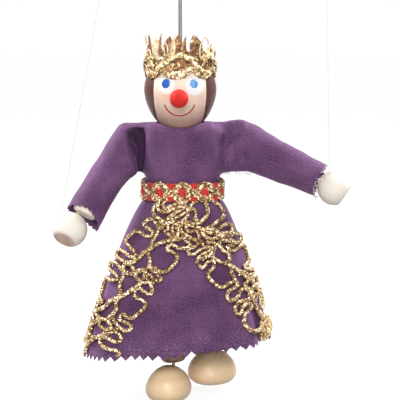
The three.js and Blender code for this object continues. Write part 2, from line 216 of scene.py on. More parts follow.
def squared(angle, power):
    # How much further out than a circle a squarish outline runs at this angle.
    return (abs(math.sin(angle)) ** power + abs(math.cos(angle)) ** power) ** (-1 / power)


# Camera, at the photograph's angle.
view = {"target": (10.9, 0, -124), "elevation": 8, "distance": 750, "lens": 120.51, "sensor": 36,
        "frame": 400}
tilt = math.radians(view["elevation"])
camera = bpy.data.objects.new("camera", bpy.data.cameras.new("camera"))
scene.collection.objects.link(camera)
camera.data.lens = view["lens"]
camera.data.sensor_width = view["sensor"]
camera.data.clip_start = 0.01
away = Vector((0, -math.cos(tilt), math.sin(tilt)))
camera.location = point(*view["target"]) + away * view["distance"] * mm
camera.rotation_mode = "QUATERNION"
camera.rotation_quaternion = (-away).to_track_quat("-Z", "Y")
scene.camera = camera
scene.view_settings.view_transform = "Standard"


def srgb(r, g, b):
    # A colour as it looks on a screen, 0 to 255, in linear values.
    shares = [c / 255 for c in (r, g, b)]
    return tuple(c / 12.92 if c <= 0.04045 else ((c + 0.055) / 1.055) ** 2.4 for c in shares) + (1,)


# Node helpers. A tree is a material's or a group's, and values may be numbers or sockets.
def node(tree, kind, **values):
    made = tree.nodes.new(kind)
    for key, value in values.items():
        if hasattr(made, key):
            setattr(made, key, value)
        else:
            feed(tree, made.inputs[key.replace("_", " ")], value)
    return made


def feed(tree, socket, value):
    if isinstance(value, bpy.types.NodeSocket):
        tree.links.new(value, socket)
    elif value is not None:
        socket.default_value = value


def sums(tree, operation, *values):
    made = tree.nodes.new("ShaderNodeMath")
    made.operation = operation
    for socket, value in zip(made.inputs, values):
        feed(tree, socket, value)
    return made.outputs[0]


def times(tree, first, second):
    return sums(tree, "MULTIPLY", first, second)


def between(tree, value, low, high, start=0.0, end=1.0):
    # Start up to low and end from high on, with a straight run between them.
    made = node(tree, "ShaderNodeMapRange", clamp=True)
    limits = (("Value", value), ("From Min", low), ("From Max", high), ("To Min", start), ("To Max", end))
    for key, given in limits:
        feed(tree, made.inputs[key], given)
    return made.outputs[0]


def mixed(tree, share, first, second, kind="RGBA"):
    # Two colours, or two numbers with the kind FLOAT, mixed by a share.
    made = node(tree, "ShaderNodeMix", data_type=kind)
    sockets = (0, 6, 7) if kind == "RGBA" else (0, 2, 3)
    for n, value in zip(sockets, (share, first, second)):
        feed(tree, made.inputs[n], value)
    return made.outputs[2 if kind == "RGBA" else 0]


def group(name, inputs, outputs):
    tree = bpy.data.node_groups.new(name, "ShaderNodeTree")
    for label, kind, value in inputs:
        made = tree.interface.new_socket(label, in_out="INPUT", socket_type="NodeSocket" + kind)
        if value is not None:
            made.default_value = value
    for label, kind in outputs:
        tree.interface.new_socket(label, in_out="OUTPUT", socket_type="NodeSocket" + kind)
    return tree, tree.nodes.new("NodeGroupInput").outputs, tree.nodes.new("NodeGroupOutput").inputs


def use(tree, name, **values):
    made = tree.nodes.new("ShaderNodeGroup")
    made.node_tree = bpy.data.node_groups[name]
    for key, value in values.items():
        feed(tree, made.inputs[key], value)
    return made.outputs


def surface(name, **values):
    # A material and its tree, with numbers set on the shader's own sockets.
    material = bpy.data.materials.new(name)
    material.use_nodes = True
    shader = material.node_tree.nodes["Principled BSDF"]
    for key, value in values.items():
        shader.inputs[key.replace("_", " ")].default_value = value
    return material, material.node_tree, shader


def objectAt(tree):
    return node(tree, "ShaderNodeTexCoord").outputs["Object"]


def scaled(tree, vector, scale, turn=(0, 0, 0), shift=(0, 0, 0)):
    made = node(tree, "ShaderNodeMapping")
    feed(tree, made.inputs["Vector"], vector)
    made.inputs["Scale"].default_value = scale
    made.inputs["Rotation"].default_value = turn
    made.inputs["Location"].default_value = shift
    return made.outputs[0]


def cloudy(tree, vector, scale, detail, roughness=0.5):
    # Soft noise, stretched by a scale for each axis.
    made = node(tree, "ShaderNodeTexNoise", Scale=1.0, Detail=detail, Roughness=roughness)
    feed(tree, made.inputs["Vector"], scaled(tree, vector, scale))
    return made.outputs["Fac"]


def parted(tree, vector):
    # The x, y and z of a vector.
    made = node(tree, "ShaderNodeSeparateXYZ")
    feed(tree, made.inputs[0], vector)
    return made.outputs


def toned(tree, shader, tone, low, high, first, second):
    # The base colour goes from the first to the second as the tone goes from low to high.
    colour = mixed(tree, between(tree, tone, low, high), srgb(*first), srgb(*second))
    feed(tree, shader.inputs["Base Color"], colour)


def dulled(tree, shader, tone, low, high, start, end):
    feed(tree, shader.inputs["Roughness"], between(tree, tone, low, high, start, end))


def bumped(tree, shader, height, distance, strength):
    made = node(tree, "ShaderNodeBump")
    feed(tree, made.inputs["Height"], height)
    made.inputs["Distance"].default_value = distance
    made.inputs["Strength"].default_value = strength
    tree.links.new(made.outputs[0], shader.inputs["Normal"])


# Weave: plain cloth, a thread over and a thread under, with uneven threads.
tree, given, out = group("weave", [("Vector", "Vector", None), ("Pitch", "Float", 0.0005)],
                         [("Thread", "Float"), ("Height", "Float")])
split = parted(tree, given["Vector"])
warp, weft = (sums(tree, "DIVIDE", split[k], given["Pitch"]) for k in (0, 1))
checker = sums(tree, "MODULO", sums(tree, "ADD", sums(tree, "FLOOR", warp), sums(tree, "FLOOR", weft)), 2)
checker = sums(tree, "ABSOLUTE", checker)
crests, tones = [], []
for v in (warp, weft):
    crests.append(sums(tree, "ABSOLUTE", sums(tree, "SINE", times(tree, v, math.pi))))
    line = node(tree, "ShaderNodeTexNoise", noise_dimensions="1D", Scale=0.6, Detail=1.0)
    feed(tree, line.inputs["W"], v)
    tones.append(line.outputs["Fac"])
height = mixed(tree, checker, *crests, kind="FLOAT")
tone = mixed(tree, checker, *tones, kind="FLOAT")
feed(tree, out["Height"], height)
feed(tree, out["Thread"], times(tree, tone, sums(tree, "POWER", height, 0.5)))

# Grain: long fibres and faint year rings, along the vector's third axis.
tree, given, out = group("grain", [("Vector", "Vector", None), ("Coarse", "Float", 1.0)],
                         [("Tone", "Float"), ("Height", "Float")])
fibres = cloudy(tree, given["Vector"], (1500, 1500, 55), 5.0, 0.62)
rings = node(tree, "ShaderNodeTexWave", wave_type="RINGS", rings_direction="Z",
             Scale=1.0, Distortion=3.5, Detail=2.0)
feed(tree, rings.inputs["Vector"], scaled(tree, given["Vector"], (62, 62, 3), shift=(0.9, 0.5, 0)))
pores = cloudy(tree, given["Vector"], (3800, 3800, 240), 2.0)
fleck = between(tree, pores, 0.66, 0.74)
tone = sums(tree, "ADD", times(tree, fibres, 0.7),
            times(tree, times(tree, rings.outputs["Fac"], given["Coarse"]), 0.35))
feed(tree, out["Tone"], sums(tree, "ADD", tone, times(tree, fleck, 0.18)))
feed(tree, out["Height"], sums(tree, "SUBTRACT", fibres, fleck))

# Foil: flat facets of metal film, each with its own tone as a painted reflection, and fine creases between
# them painted darker as shade.
tree, given, out = group("foil", [("Vector", "Vector", None), ("Size", "Float", 0.0006)],
                         [("Tone", "Float"), ("Height", "Float")])
place = node(tree, "ShaderNodeVectorMath", operation="SCALE")
feed(tree, place.inputs[0], given["Vector"])
feed(tree, place.inputs["Scale"], sums(tree, "DIVIDE", 1.0, given["Size"]))
facets = node(tree, "ShaderNodeTexVoronoi", Scale=1.0, Randomness=1.0)
feed(tree, facets.inputs["Vector"], place.outputs[0])
tint = node(tree, "ShaderNodeSeparateColor")
feed(tree, tint.inputs[0], facets.outputs["Color"])
broad = node(tree, "ShaderNodeTexNoise", Scale=0.35, Detail=2.0)
feed(tree, broad.inputs["Vector"], place.outputs[0])
tone = sums(tree, "ADD", times(tree, tint.outputs[0], 0.6), times(tree, broad.outputs["Fac"], 0.45))
feed(tree, out["Tone"], sums(tree, "SUBTRACT", tone, times(tree, facets.outputs["Distance"], 0.12)))
feed(tree, out["Height"], sums(tree, "ADD", facets.outputs["Distance"], times(tree, tint.outputs[1], 0.6)))

# Spot: a soft-edged ellipse on the front, in x and z.
tree, given, out = group("spot", [("Vector", "Vector", None), ("X", "Float", 0.0), ("Z", "Float", 0.0),
                                  ("Wide", "Float", 0.01), ("High", "Float", 0.01), ("Soft", "Float", 0.03)],
                         [("Mask", "Float"), ("Distance", "Float")])
split = parted(tree, given["Vector"])
squares = []
for k, centre, reach in ((0, "X", "Wide"), (2, "Z", "High")):
    off = sums(tree, "DIVIDE", sums(tree, "SUBTRACT", split[k], given[centre]), given[reach])
    squares.append(sums(tree, "POWER", off, 2.0))
far = sums(tree, "SQRT", sums(tree, "ADD", *squares))
front = between(tree, split[1], 0.002, -0.002)
feed(tree, out["Distance"], far)
feed(tree, out["Mask"], times(tree, front, between(tree, far, sums(tree, "ADD", 1.0, given["Soft"]), 1.0)))


def woodFinish(name, light, dark, turn=(0, 0, 0), coarse=1.0, lacquer=0.0, roughness=0.55):
    material, tree, shader = surface(name, Coat_Weight=lacquer, Coat_Roughness=0.18)
    grain = use(tree, "grain", Vector=scaled(tree, objectAt(tree), (1, 1, 1), turn=turn), Coarse=coarse)
    toned(tree, shader, grain["Tone"], 0.3, 0.85, light, dark)
    dulled(tree, shader, grain["Tone"], 0.2, 0.9, roughness + 0.06, roughness - 0.06)
    bumped(tree, shader, grain["Height"], 0.00006, 0.5)
    return material


def paintFinish(name, colour, deep, roughness, coat):
    # Brushed-on paint over wood, a little uneven in tone and gloss.
    material, tree, shader = surface(name, Coat_Weight=coat, Coat_Roughness=0.12)
    uneven = cloudy(tree, objectAt(tree), (700, 700, 160), 3.0)
    toned(tree, shader, uneven, 0.35, 0.7, colour, deep)
    dulled(tree, shader, uneven, 0.3, 0.7, roughness - 0.05, roughness + 0.08)
    bumped(tree, shader, uneven, 0.00008, 0.35)
    return material


def foilFinish(name, size, tones, roughness=0.34, metallic=0.85, depth=0.00025):
    # Gold lame: the tones run from painted shadows in its folds to painted glints.
    material, tree, shader = surface(name)
    foil = use(tree, "foil", Vector=objectAt(tree), Size=size)
    ramp = node(tree, "ShaderNodeValToRGB")
    feed(tree, ramp.inputs[0], foil["Tone"])
    stops = ramp.color_ramp.elements
    while len(stops) < len(tones):
        stops.new(0.5)
    for stop, (place, colour) in zip(stops, tones):
        stop.position = place
        stop.color = srgb(*colour)
    feed(tree, shader.inputs["Base Color"], ramp.outputs[0])
    feed(tree, shader.inputs["Metallic"], between(tree, foil["Tone"], 0.1, 0.5, metallic - 0.15, metallic))
    dulled(tree, shader, foil["Tone"], 0.2, 0.9, roughness + 0.12, roughness - 0.08)
    bumped(tree, shader, foil["Height"], depth, 0.7)
    return material


def threadFinish(name, light, dark, pitch, roughness=0.8, sheen=0.2):
    # Spun yarn: short dark flecks between fibres.
    material, tree, shader = surface(name, Sheen_Weight=sheen, Sheen_Roughness=0.4)
    fibre = cloudy(tree, objectAt(tree), (1 / pitch, 1 / pitch, 0.35 / pitch), 3.0, 0.7)
    toned(tree, shader, fibre, 0.35, 0.65, dark, light)
    dulled(tree, shader, fibre, 0.3, 0.7, roughness - 0.08, roughness + 0.08)
    bumped(tree, shader, fibre, 0.2 * pitch, 0.6)
    return material


def steelFinish(name, light, dark):
    # Drawn wire, with marks along its length.
    material, tree, shader = surface(name)
    marks = cloudy(tree, objectAt(tree), (2600, 2600, 60), 4.0)
    toned(tree, shader, marks, 0.3, 0.7, light, dark)
    feed(tree, shader.inputs["Metallic"], between(tree, marks, 0.2, 0.8, 0.95, 0.8))
    dulled(tree, shader, marks, 0.3, 0.7, 0.3, 0.46)
    bumped(tree, shader, marks, 0.00005, 0.3)
    return material


# The fold colour is painted shade for the deep folds of the cloth.
cloth = {"gleam": (190, 110, 205), "bloom": (230, 164, 240), "fluff": (178, 154, 184), "fold": (46, 35, 48),
         "patches": (55, 55, 55), "lint": (1000, 1000, 1000), "hem": (0.078, 0.091)}


def clothFinish(name, light, dark, pitch):
    # Plain-woven cotton with a soft bloom, worn paler and duller in patches.
    material, tree, shader = surface(name, Sheen_Weight=0.35, Sheen_Roughness=0.45, Specular_IOR_Level=0.5)
    shader.inputs["Specular Tint"].default_value = srgb(*cloth["gleam"])
    shader.inputs["Sheen Tint"].default_value = srgb(*cloth["bloom"])
    at = node(tree, "ShaderNodeAttribute", attribute_name="clothAt").outputs["Vector"]
    weave = use(tree, "weave", Vector=at, Pitch=pitch)
    patches = cloudy(tree, at, cloth["patches"], 3.0)
    lint = cloudy(tree, at, cloth["lint"], 2.0)
    tone = sums(tree, "ADD", times(tree, weave["Thread"], 0.2), times(tree, patches, 0.5))
    tone = sums(tree, "ADD", tone, times(tree, lint, 0.42))
    colour = mixed(tree, between(tree, tone, 0.4, 0.66), srgb(*dark), srgb(*light))
    # Pale fluff of cut threads along the skirt's hem, which the second part of clothAt runs down to.
    split = parted(tree, at)
    fluff = times(tree, between(tree, split[1], *cloth["hem"]), between(tree, lint, 0.5, 0.62))
    fluff = times(tree, fluff, between(tree, patches, 0.42, 0.6))
    colour = mixed(tree, times(tree, fluff, 0.5), colour, srgb(*cloth["fluff"]))
    # The third part is how deep in a fold the cloth lies, and the colour is darkened there toward the fold
    # colour as painted shade.
    feed(tree, shader.inputs["Base Color"], mixed(tree, split[2], colour, srgb(*cloth["fold"])))
    dulled(tree, shader, tone, 0.2, 0.9, 0.5, 0.62)
    bumped(tree, shader, weave["Height"], 0.00012, 0.5)
    return material


# Face and hair: bare wood in front, eye whites and a mouth line, and dark brown paint all round.
# The wood's tone changes with height as painted light and shade: lighter at the forehead, pinker below it,
# and darker toward the chin; each tone comes in between two heights.
face = {"wide": 14.2, "high": 30, "middle": -63, "hairline": (-47.8, -48.6),
        "foreheadLight": (255, 244, 226), "cheek": (255, 224, 204), "cheekFrom": (-58, -65),
        "chinShade": (196, 160, 144), "chinFrom": (-69, -79), "grain": (160, 80, 62),
        "hair": ((90, 46, 40), (72, 35, 31)), "white": (255, 255, 254),
        "whites": [(-7.13, -59.28, 3.9, 4.05), (7.98, -59.3, 4.4, 4.7)],
        "mouth": {"x": -0.18, "z": -67.13, "radius": 8.45, "width": 0.74, "ends": -69.4,
                  "red": (176, 58, 56)}}


def faceFinish(name):
    material, tree, shader = surface(name, Specular_IOR_Level=0.28)
    at = objectAt(tree)
    grain = use(tree, "grain", Vector=at, Coarse=0.6)
    split = parted(tree, at)

    def below(high, low):
        return between(tree, split[2], high * mm, low * mm)

    def spot(x, z, wide, high, soft):
        return use(tree, "spot", Vector=at, X=x * mm, Z=z * mm, Wide=wide * mm, High=high * mm, Soft=soft)

    # Painted light on the forehead and painted shade toward the chin, mixed in by height.
    light = mixed(tree, below(*face["cheekFrom"]), srgb(*face["foreheadLight"]), srgb(*face["cheek"]))
    light = mixed(tree, below(*face["chinFrom"]), light, srgb(*face["chinShade"]))
    dark = mixed(tree, 0.2, light, srgb(*face["grain"]))
    colour = mixed(tree, between(tree, grain["Tone"], 0.3, 0.9), light, dark)
    for white in face["whites"]:
        colour = mixed(tree, spot(*white, 0.14)["Mask"], colour, srgb(*face["white"]))
    # The mouth is the lower part of a ring.
    m = face["mouth"]
    ring = spot(m["x"], m["z"], m["radius"], m["radius"], 0.1)
    half = 0.5 * m["width"] / m["radius"]
    off = sums(tree, "ABSOLUTE", sums(tree, "SUBTRACT", ring["Distance"], 1.0))
    line = between(tree, off, half * 1.25, half * 0.8)
    front = between(tree, split[1], -0.002, -0.004)
    line = times(tree, line, times(tree, below(m["ends"] + 0.15, m["ends"] - 0.15), front))
    colour = mixed(tree, line, colour, srgb(*m["red"]))
    bare = spot(0.0, face["middle"], face["wide"], face["high"], 0.012)["Mask"]
    bare = times(tree, bare, below(*face["hairline"]))
    brush = cloudy(tree, at, (900, 900, 110), 3.0)
    hair = mixed(tree, between(tree, brush, 0.35, 0.7), *(srgb(*tone) for tone in face["hair"]))
    feed(tree, shader.inputs["Base Color"], mixed(tree, bare, hair, colour))
    dulled(tree, shader, bare, 0, 1, 0.4, 0.6)
    raised = sums(tree, "ADD", sums(tree, "SUBTRACT", 1.0, bare), times(tree, line, 0.4))
    raised = sums(tree, "ADD", raised, times(tree, grain["Height"], 0.15))
    bumped(tree, shader, raised, 0.00012, 0.6)
    return material


steel = steelFinish("steel", (150, 141, 140), (116, 107, 106))
threadPale = threadFinish("threadPale", (255, 250, 246), (240, 232, 228), 0.0004)
threadPale.node_tree.nodes["Principled BSDF"].inputs["Alpha"].default_value = 0.5
frayWhite = threadFinish("frayWhite", (255, 254, 252), (246, 240, 236), 0.0004)
cottonCord = threadFinish("cottonCord", (242, 232, 212), (196, 180, 150), 0.0005)
beltRed = threadFinish("beltRed", (232, 44, 34), (176, 22, 20), 0.0006, 0.5, 0.5)
paleWood = woodFinish("paleWood", (250, 236, 218), (228, 202, 172))
armWood = woodFinish("armWood", (255, 247, 236), (242, 224, 202), turn=(0, math.radians(70), 0), coarse=0.25)
# End grain of the hands' flat ends: darker as real end grain and also as painted shade.
endGrainAndShade = woodFinish("endGrainAndShade", (232, 206, 188), (208, 176, 156), turn=(0, math.radians(20), 0),
                     coarse=1.2, roughness=0.6)
tanWood = woodFinish("tanWood", (255, 226, 184), (255, 202, 150), turn=(math.radians(90), 0, 0),
                     coarse=0.5, lacquer=0.3, roughness=0.42)
# The legs are the feet's tan wood painted darker, as painted shade from the skirt above them.
shadedLegWood = woodFinish("shadedLegWood", (150, 108, 82), (112, 78, 58), lacquer=0.3, roughness=0.45)
faceWood = faceFinish("faceWood")
redPaint = paintFinish("redPaint", (232, 44, 34), (216, 34, 28), 0.78, 0.0)
irisDeep = paintFinish("irisDeep", (8, 96, 192), (4, 74, 170), 0.35, 0.35)
# The right iris is painted paler blue than the left, a painted highlight.
irisPaintedHighlight = paintFinish("irisPaintedHighlight", (126, 190, 244), (58, 124, 212), 0.22, 0.9)
purpleCloth = clothFinish("purpleCloth", (122, 88, 124), (72, 50, 74), 0.00052)
# Each foil's tones run from painted shade to painted glints and reflections.
crownGold = foilFinish("crownGold", 0.0018,
                       [(0.2, (146, 116, 72)), (0.4, (192, 164, 114)), (0.54, (226, 206, 156)),
                        (0.7, (248, 238, 202)), (0.88, (254, 248, 226))], 0.4, 0.55, 0.0002)
crownBrown = foilFinish("crownBrown", 0.0014,
                        [(0.2, (96, 62, 40)), (0.42, (140, 98, 64)), (0.62, (186, 144, 98)),
                         (0.82, (240, 222, 182))], 0.36, 0.65)
leafPale = foilFinish("leafPale", 0.0020,
                      [(0.2, (196, 168, 124)), (0.45, (232, 212, 172)), (0.75, (250, 240, 212))], 0.4, 0.55)
leafBrown = foilFinish("leafBrown", 0.0014,
                       [(0.2, (116, 76, 52)), (0.5, (160, 112, 76)), (0.8, (198, 154, 108))], 0.4, 0.6)
trimGold = foilFinish("trimGold", 0.0008,
                      [(0.24, (104, 74, 46)), (0.42, (160, 126, 86)), (0.55, (200, 170, 126)),
                       (0.68, (246, 228, 190)), (0.86, (255, 250, 232))])
trimPale = foilFinish("trimPale", 0.0006,
                      [(0.25, (206, 178, 122)), (0.5, (236, 216, 160)), (0.75, (255, 246, 210))])
print("materials made")

# Strings: a thread from the ring on each hand up to a knotted loop beside the rod's top.
strings = {
    "left": {"foot": (-63.902, -28.758, -127.19), "head": (-40.686, -28.758, -5.0), "diameter": 0.5},
    "right": {"foot": (81.989, -13.702, -105.62), "head": (78.960, -13.702, -5.0), "diameter": 0.5},
}
threadRings = {"loop": {"wire": 0.38, "inset": 0.4, "twist": 0.03, "points": 48},
               "ring": {"wire": 0.28, "inset": 0.3, "twist": 0.0, "points": 32}}


def threadRing(side, kind):
    # A ring of thread that fills the box of the node it stands for.
    r = threadRings[kind]
    low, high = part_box(f"string_{kind}_{side}")
    middle, radius = (low + high) / 2, (high.z - low.z) / 2 - r["inset"] * mm
    line = [middle + radius * Vector((math.sin(a), r["twist"] * math.sin(2 * a), -math.cos(a)))
            for a in (2 * math.pi * k / r["points"] for k in range(r["points"]))]
    name = f"string_{side}_{kind}"
    return addPiece(name, cordMesh(name, [line], r["wire"] * mm, 8, cyclic=True), threadPale)


for side, s in strings.items():
    foot, head = point(*s["foot"]), point(*s["head"])
    line = [foot.lerp(head, k / 60) for k in range(61)]
    name = f"string_{side}_thread"
    thread = addPiece(name, cordMesh(name, [line], 0.5 * s["diameter"] * mm, 8), threadPale)
    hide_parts(f"string_{side}")
    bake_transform(thread)
    loop = rideOn(threadRing(side, "loop"), f"shoulder_{side}", "thread", f"string_loop_{side}")
    rideOn(threadRing(side, "ring"), f"hand_{side}", "thread", f"string_ring_{side}")
print("strings made")

# Rod: one wire, straight through the head, bent into a loop above, with a small eye below.
rod = {"radius": 1.0, "loop": 5.0, "loopZ": -4.0, "start": 34, "open": 328,
       "straight": (-60, -30, -18, -13.6), "bend": ((0.2, -11.7), (1.15, -9.9)),
       "reach": 83.4, "eye": 1.9, "eyeWire": 0.45, "eyeGap": 0.3}
eyeZ = -rod["reach"] - rod["eyeGap"] - rod["eye"] - rod["eyeWire"]
wire = [point(0, 0, z) for z in (eyeZ + rod["eye"], *rod["straight"])]
wire += [point(x, 0, z) for x, z in rod["bend"]]
for a in range(rod["start"], rod["open"] + 1, 14):
    turn = math.radians(a)
    wire.append(point(rod["loop"] * math.sin(turn), 0, rod["loopZ"] - rod["loop"] * math.cos(turn)))
eye = [point(rod["eye"] * math.sin(a), 0, eyeZ + rod["eye"] * math.cos(a))
       for a in (2 * math.pi * k / 40 for k in range(40))]
bm = bmesh.new()
bm.from_mesh(cordMesh("rodWire", [smoothLine(wire, 0.5 * mm)], rod["radius"] * mm, 16))
bm.from_mesh(cordMesh("rodEye", [eye], rod["eyeWire"] * mm, 10, cyclic=True))
rideOn(addPiece("rod", meshFrom("rod", bm), steel), "control", "rod_steel", "control_rod")
print("rod made")

# Head: a turned ball with a drawn-in jaw, a flat underside and a bore for the rod.
# Its shape is given by radius and height, both as shares of the ball's radius.
head = {"radius": 20, "middle": -63.0, "bore": 1.3, "under": -20.4, "flat": 8.2, "top": 20.7,
        "shape": [(0.45, -1.02), (0.565, -0.925), (0.69, -0.785), (0.79, -0.645), (0.9, -0.42),
                  (0.965, -0.22), (1, 0), (0.98, 0.225), (0.9, 0.475), (0.75, 0.7), (0.525, 0.9),
                  (0.25, 1.015)]}
outer = smoothLine([Vector((r * head["radius"], z * head["radius"], 0)) for r, z in head["shape"]], 0.8)
profile = [(head["bore"], head["under"]), (head["flat"], head["under"])]
profile += [(p.x, p.y) for p in outer] + [(head["bore"], head["top"])]
profile.append(profile[0])
headPiece = turned("head_ball", profile, 96, Matrix.Translation(point(0, 0, head["middle"])))
headPiece.set_sharp_from_angle(angle=math.radians(50))
rideOn(addPiece("head_ball", headPiece, faceWood), "head", "pale_wood", "head")

nose = {"radius": 5, "at": (-0.4, -21.6, -65.9)}
bm = bmesh.new()
bmesh.ops.create_uvsphere(bm, u_segments=48, v_segments=32, radius=nose["radius"] * mm,
                          matrix=Matrix.Translation(point(*nose["at"])))
rideOn(addPiece("nose_ball", meshFrom("nose_ball", bm), redPaint), "head", "red_paint", "nose")

# Irises: drops of paint on the eye whites, by x, z, half width and half height.
iris = {"front": -17.83, "facing": -17.9, "thick": 0.42,
        "left": (-7.51, -57.95, 2.5, 2.6), "right": (7.66, -58.06, 2.4, 2.45)}
for side, paint in (("left", irisDeep), ("right", irisPaintedHighlight)):
    x, z, wide, high = iris[side]
    out = Vector((x, iris["facing"], z - head["middle"])).normalized()
    bm = bmesh.new()
    bmesh.ops.create_uvsphere(bm, u_segments=36, v_segments=18, radius=1 * mm)
    turn = out.to_track_quat("Z", "Y").to_matrix().to_4x4()
    place = Matrix.Translation(point(x, iris["front"], z)) @ turn
    bmesh.ops.transform(bm, matrix=place @ Matrix.Diagonal((wide, high, iris["thick"], 1)), verts=bm.verts)
    rideOn(addPiece(f"iris_{side}", meshFrom(f"iris_{side}", bm), paint), "head", "pale_wood")

# Arms: a dowel in each sleeve, a laid cord at the shoulder and the wrist, and a ball hand with a flat end.
arms = {
    "left": {"sign": -1, "shoulder": (-28.6, 0, -90.6), "drop": 58, "forward": 22,
             "handAt": 60.5, "handLift": 2, "droop": 17, "turn": 18, "end": 49.3, "corner": 6.9, "taper": 11,
             "face": (-0.36, -0.62, -0.70)},
    "right": {"sign": 1, "shoulder": (32.0, 0, -93.5), "drop": 23, "forward": 8,
              "handAt": 58.5, "handLift": 0, "droop": 10, "turn": 0, "end": 47.6, "corner": 5, "taper": 5},
}
arm = {"radius": 7, "start": 1.3, "far": 1.8, "cordAt": 45.6}
hand = {"radius": 9.6, "flat": 7.1, "edge": ((0.15, 6.95), (0.55, 7.1)), "cordAt": -9}
trunk = {"middle": 1.2, "shoulder": (15.7, -95.4), "hip": (11, -128.3)}
shortCord = {"strands": 3, "offset": 0.5, "pitch": 3, "radius": 0.52}


def rotated(degrees, axis):
    return Matrix.Rotation(math.radians(degrees), 4, axis)


def armPlace(a):
    turn = -a["forward"] if a["sign"] > 0 else 180 + a["forward"]
    return (Matrix.Translation(point(*a["shoulder"]))
            @ rotated(a["sign"] * a["drop"], "Y") @ rotated(turn, "Z"))


def handPlace(a):
    return (armPlace(a) @ Matrix.Translation(point(a["handAt"], 0, a["handLift"]))
            @ rotated(a["droop"], "Y") @ rotated(a["turn"], "Z"))


def dowelProfile(radius, length, corner, taper, far):
    # The start is rounded over taper along the dowel, and the far end by a plain radius.
    turns = [math.radians(d) for d in range(0, 91, 10)]
    low = [(radius - corner + corner * math.sin(a), taper - taper * math.cos(a)) for a in turns]
    high = [(radius - far + far * math.sin(a), length - far + far * math.cos(a)) for a in reversed(turns)]
    return [(0, 0)] + low + high + [(0, length)]


def addCord(name, low, high, steps, body, replaced):
    # A laid cord, straight between two points.
    c = shortCord
    line = [low.lerp(high, k / steps) for k in range(steps + 1)]
    strands = strandsOf(line, c["strands"], c["offset"] * mm, c["pitch"] * mm)
    mesh = cordMesh(name, strands, c["radius"] * mm, 6)
    rideOn(addPiece(name, mesh, cottonCord), body, "cord", replaced)


upX = rotated(90, "Y")
for side, a in arms.items():
    place, handAt = armPlace(a), handPlace(a)
    profile = dowelProfile(arm["radius"], a["end"] - arm["start"], a["corner"], a["taper"], arm["far"])
    wood = turned(f"arm_{side}_dowel", profile, 48,
                  place @ Matrix.Translation(point(arm["start"], 0, 0)) @ upX)
    rideOn(addPiece(f"arm_{side}_dowel", wood, armWood), f"arm_{side}", "pale_wood", f"arm_dowel_{side}")
    # The hand is a ball from its pole round to the edge of its flat end.
    last = math.acos(hand["flat"] / hand["radius"])
    arc = [(hand["radius"] * math.sin(t), hand["radius"] * math.cos(t))
           for t in (math.pi - (math.pi - last) * k / 36 for k in range(37))]
    ball = [(0, -hand["radius"])] + arc[1:-1] + [(arc[-1][0] - back, z) for back, z in hand["edge"]]
    ball.append((0, hand["flat"]))
    facing = handAt.to_3x3() @ Vector((1, 0, 0))
    swing = facing.rotation_difference(Vector(a.get("face", facing))).to_matrix().to_4x4()
    middle = Matrix.Translation(handAt.translation)
    wood = turned(f"hand_{side}_ball", ball, 64, middle @ swing @ middle.inverted() @ handAt @ upX)
    ballPiece = addPiece(f"hand_{side}_ball", wood, armWood)
    rideOn(ballPiece, f"hand_{side}", "pale_wood", f"hand_{side}")
    # The flat end shows its end grain, darker partly as real end grain and partly as painted shade.
    wood.materials.append(endGrainAndShade)
    faced = swing.to_3x3() @ facing
    for facet in wood.polygons:
        if facet.normal.dot(faced) > 0.995 and (facet.center - middle.translation).length < 10 * mm:
            facet.material_index = 1
    inSleeve, inHand = place @ point(arm["cordAt"], 0, 0), handAt @ point(hand["cordAt"], 0, 0)
    addCord(f"wrist_{side}_cord", inSleeve, inHand, 24, f"hand_{side}", f"wrist_cord_{side}")
    out, z = trunk["shoulder"]
    inTrunk = point(trunk["middle"] + a["sign"] * out, 0, z)
    addCord(f"shoulder_{side}_cord", inTrunk, point(*a["shoulder"]), 24,
            f"shoulder_{side}", f"shoulder_cord_{side}")

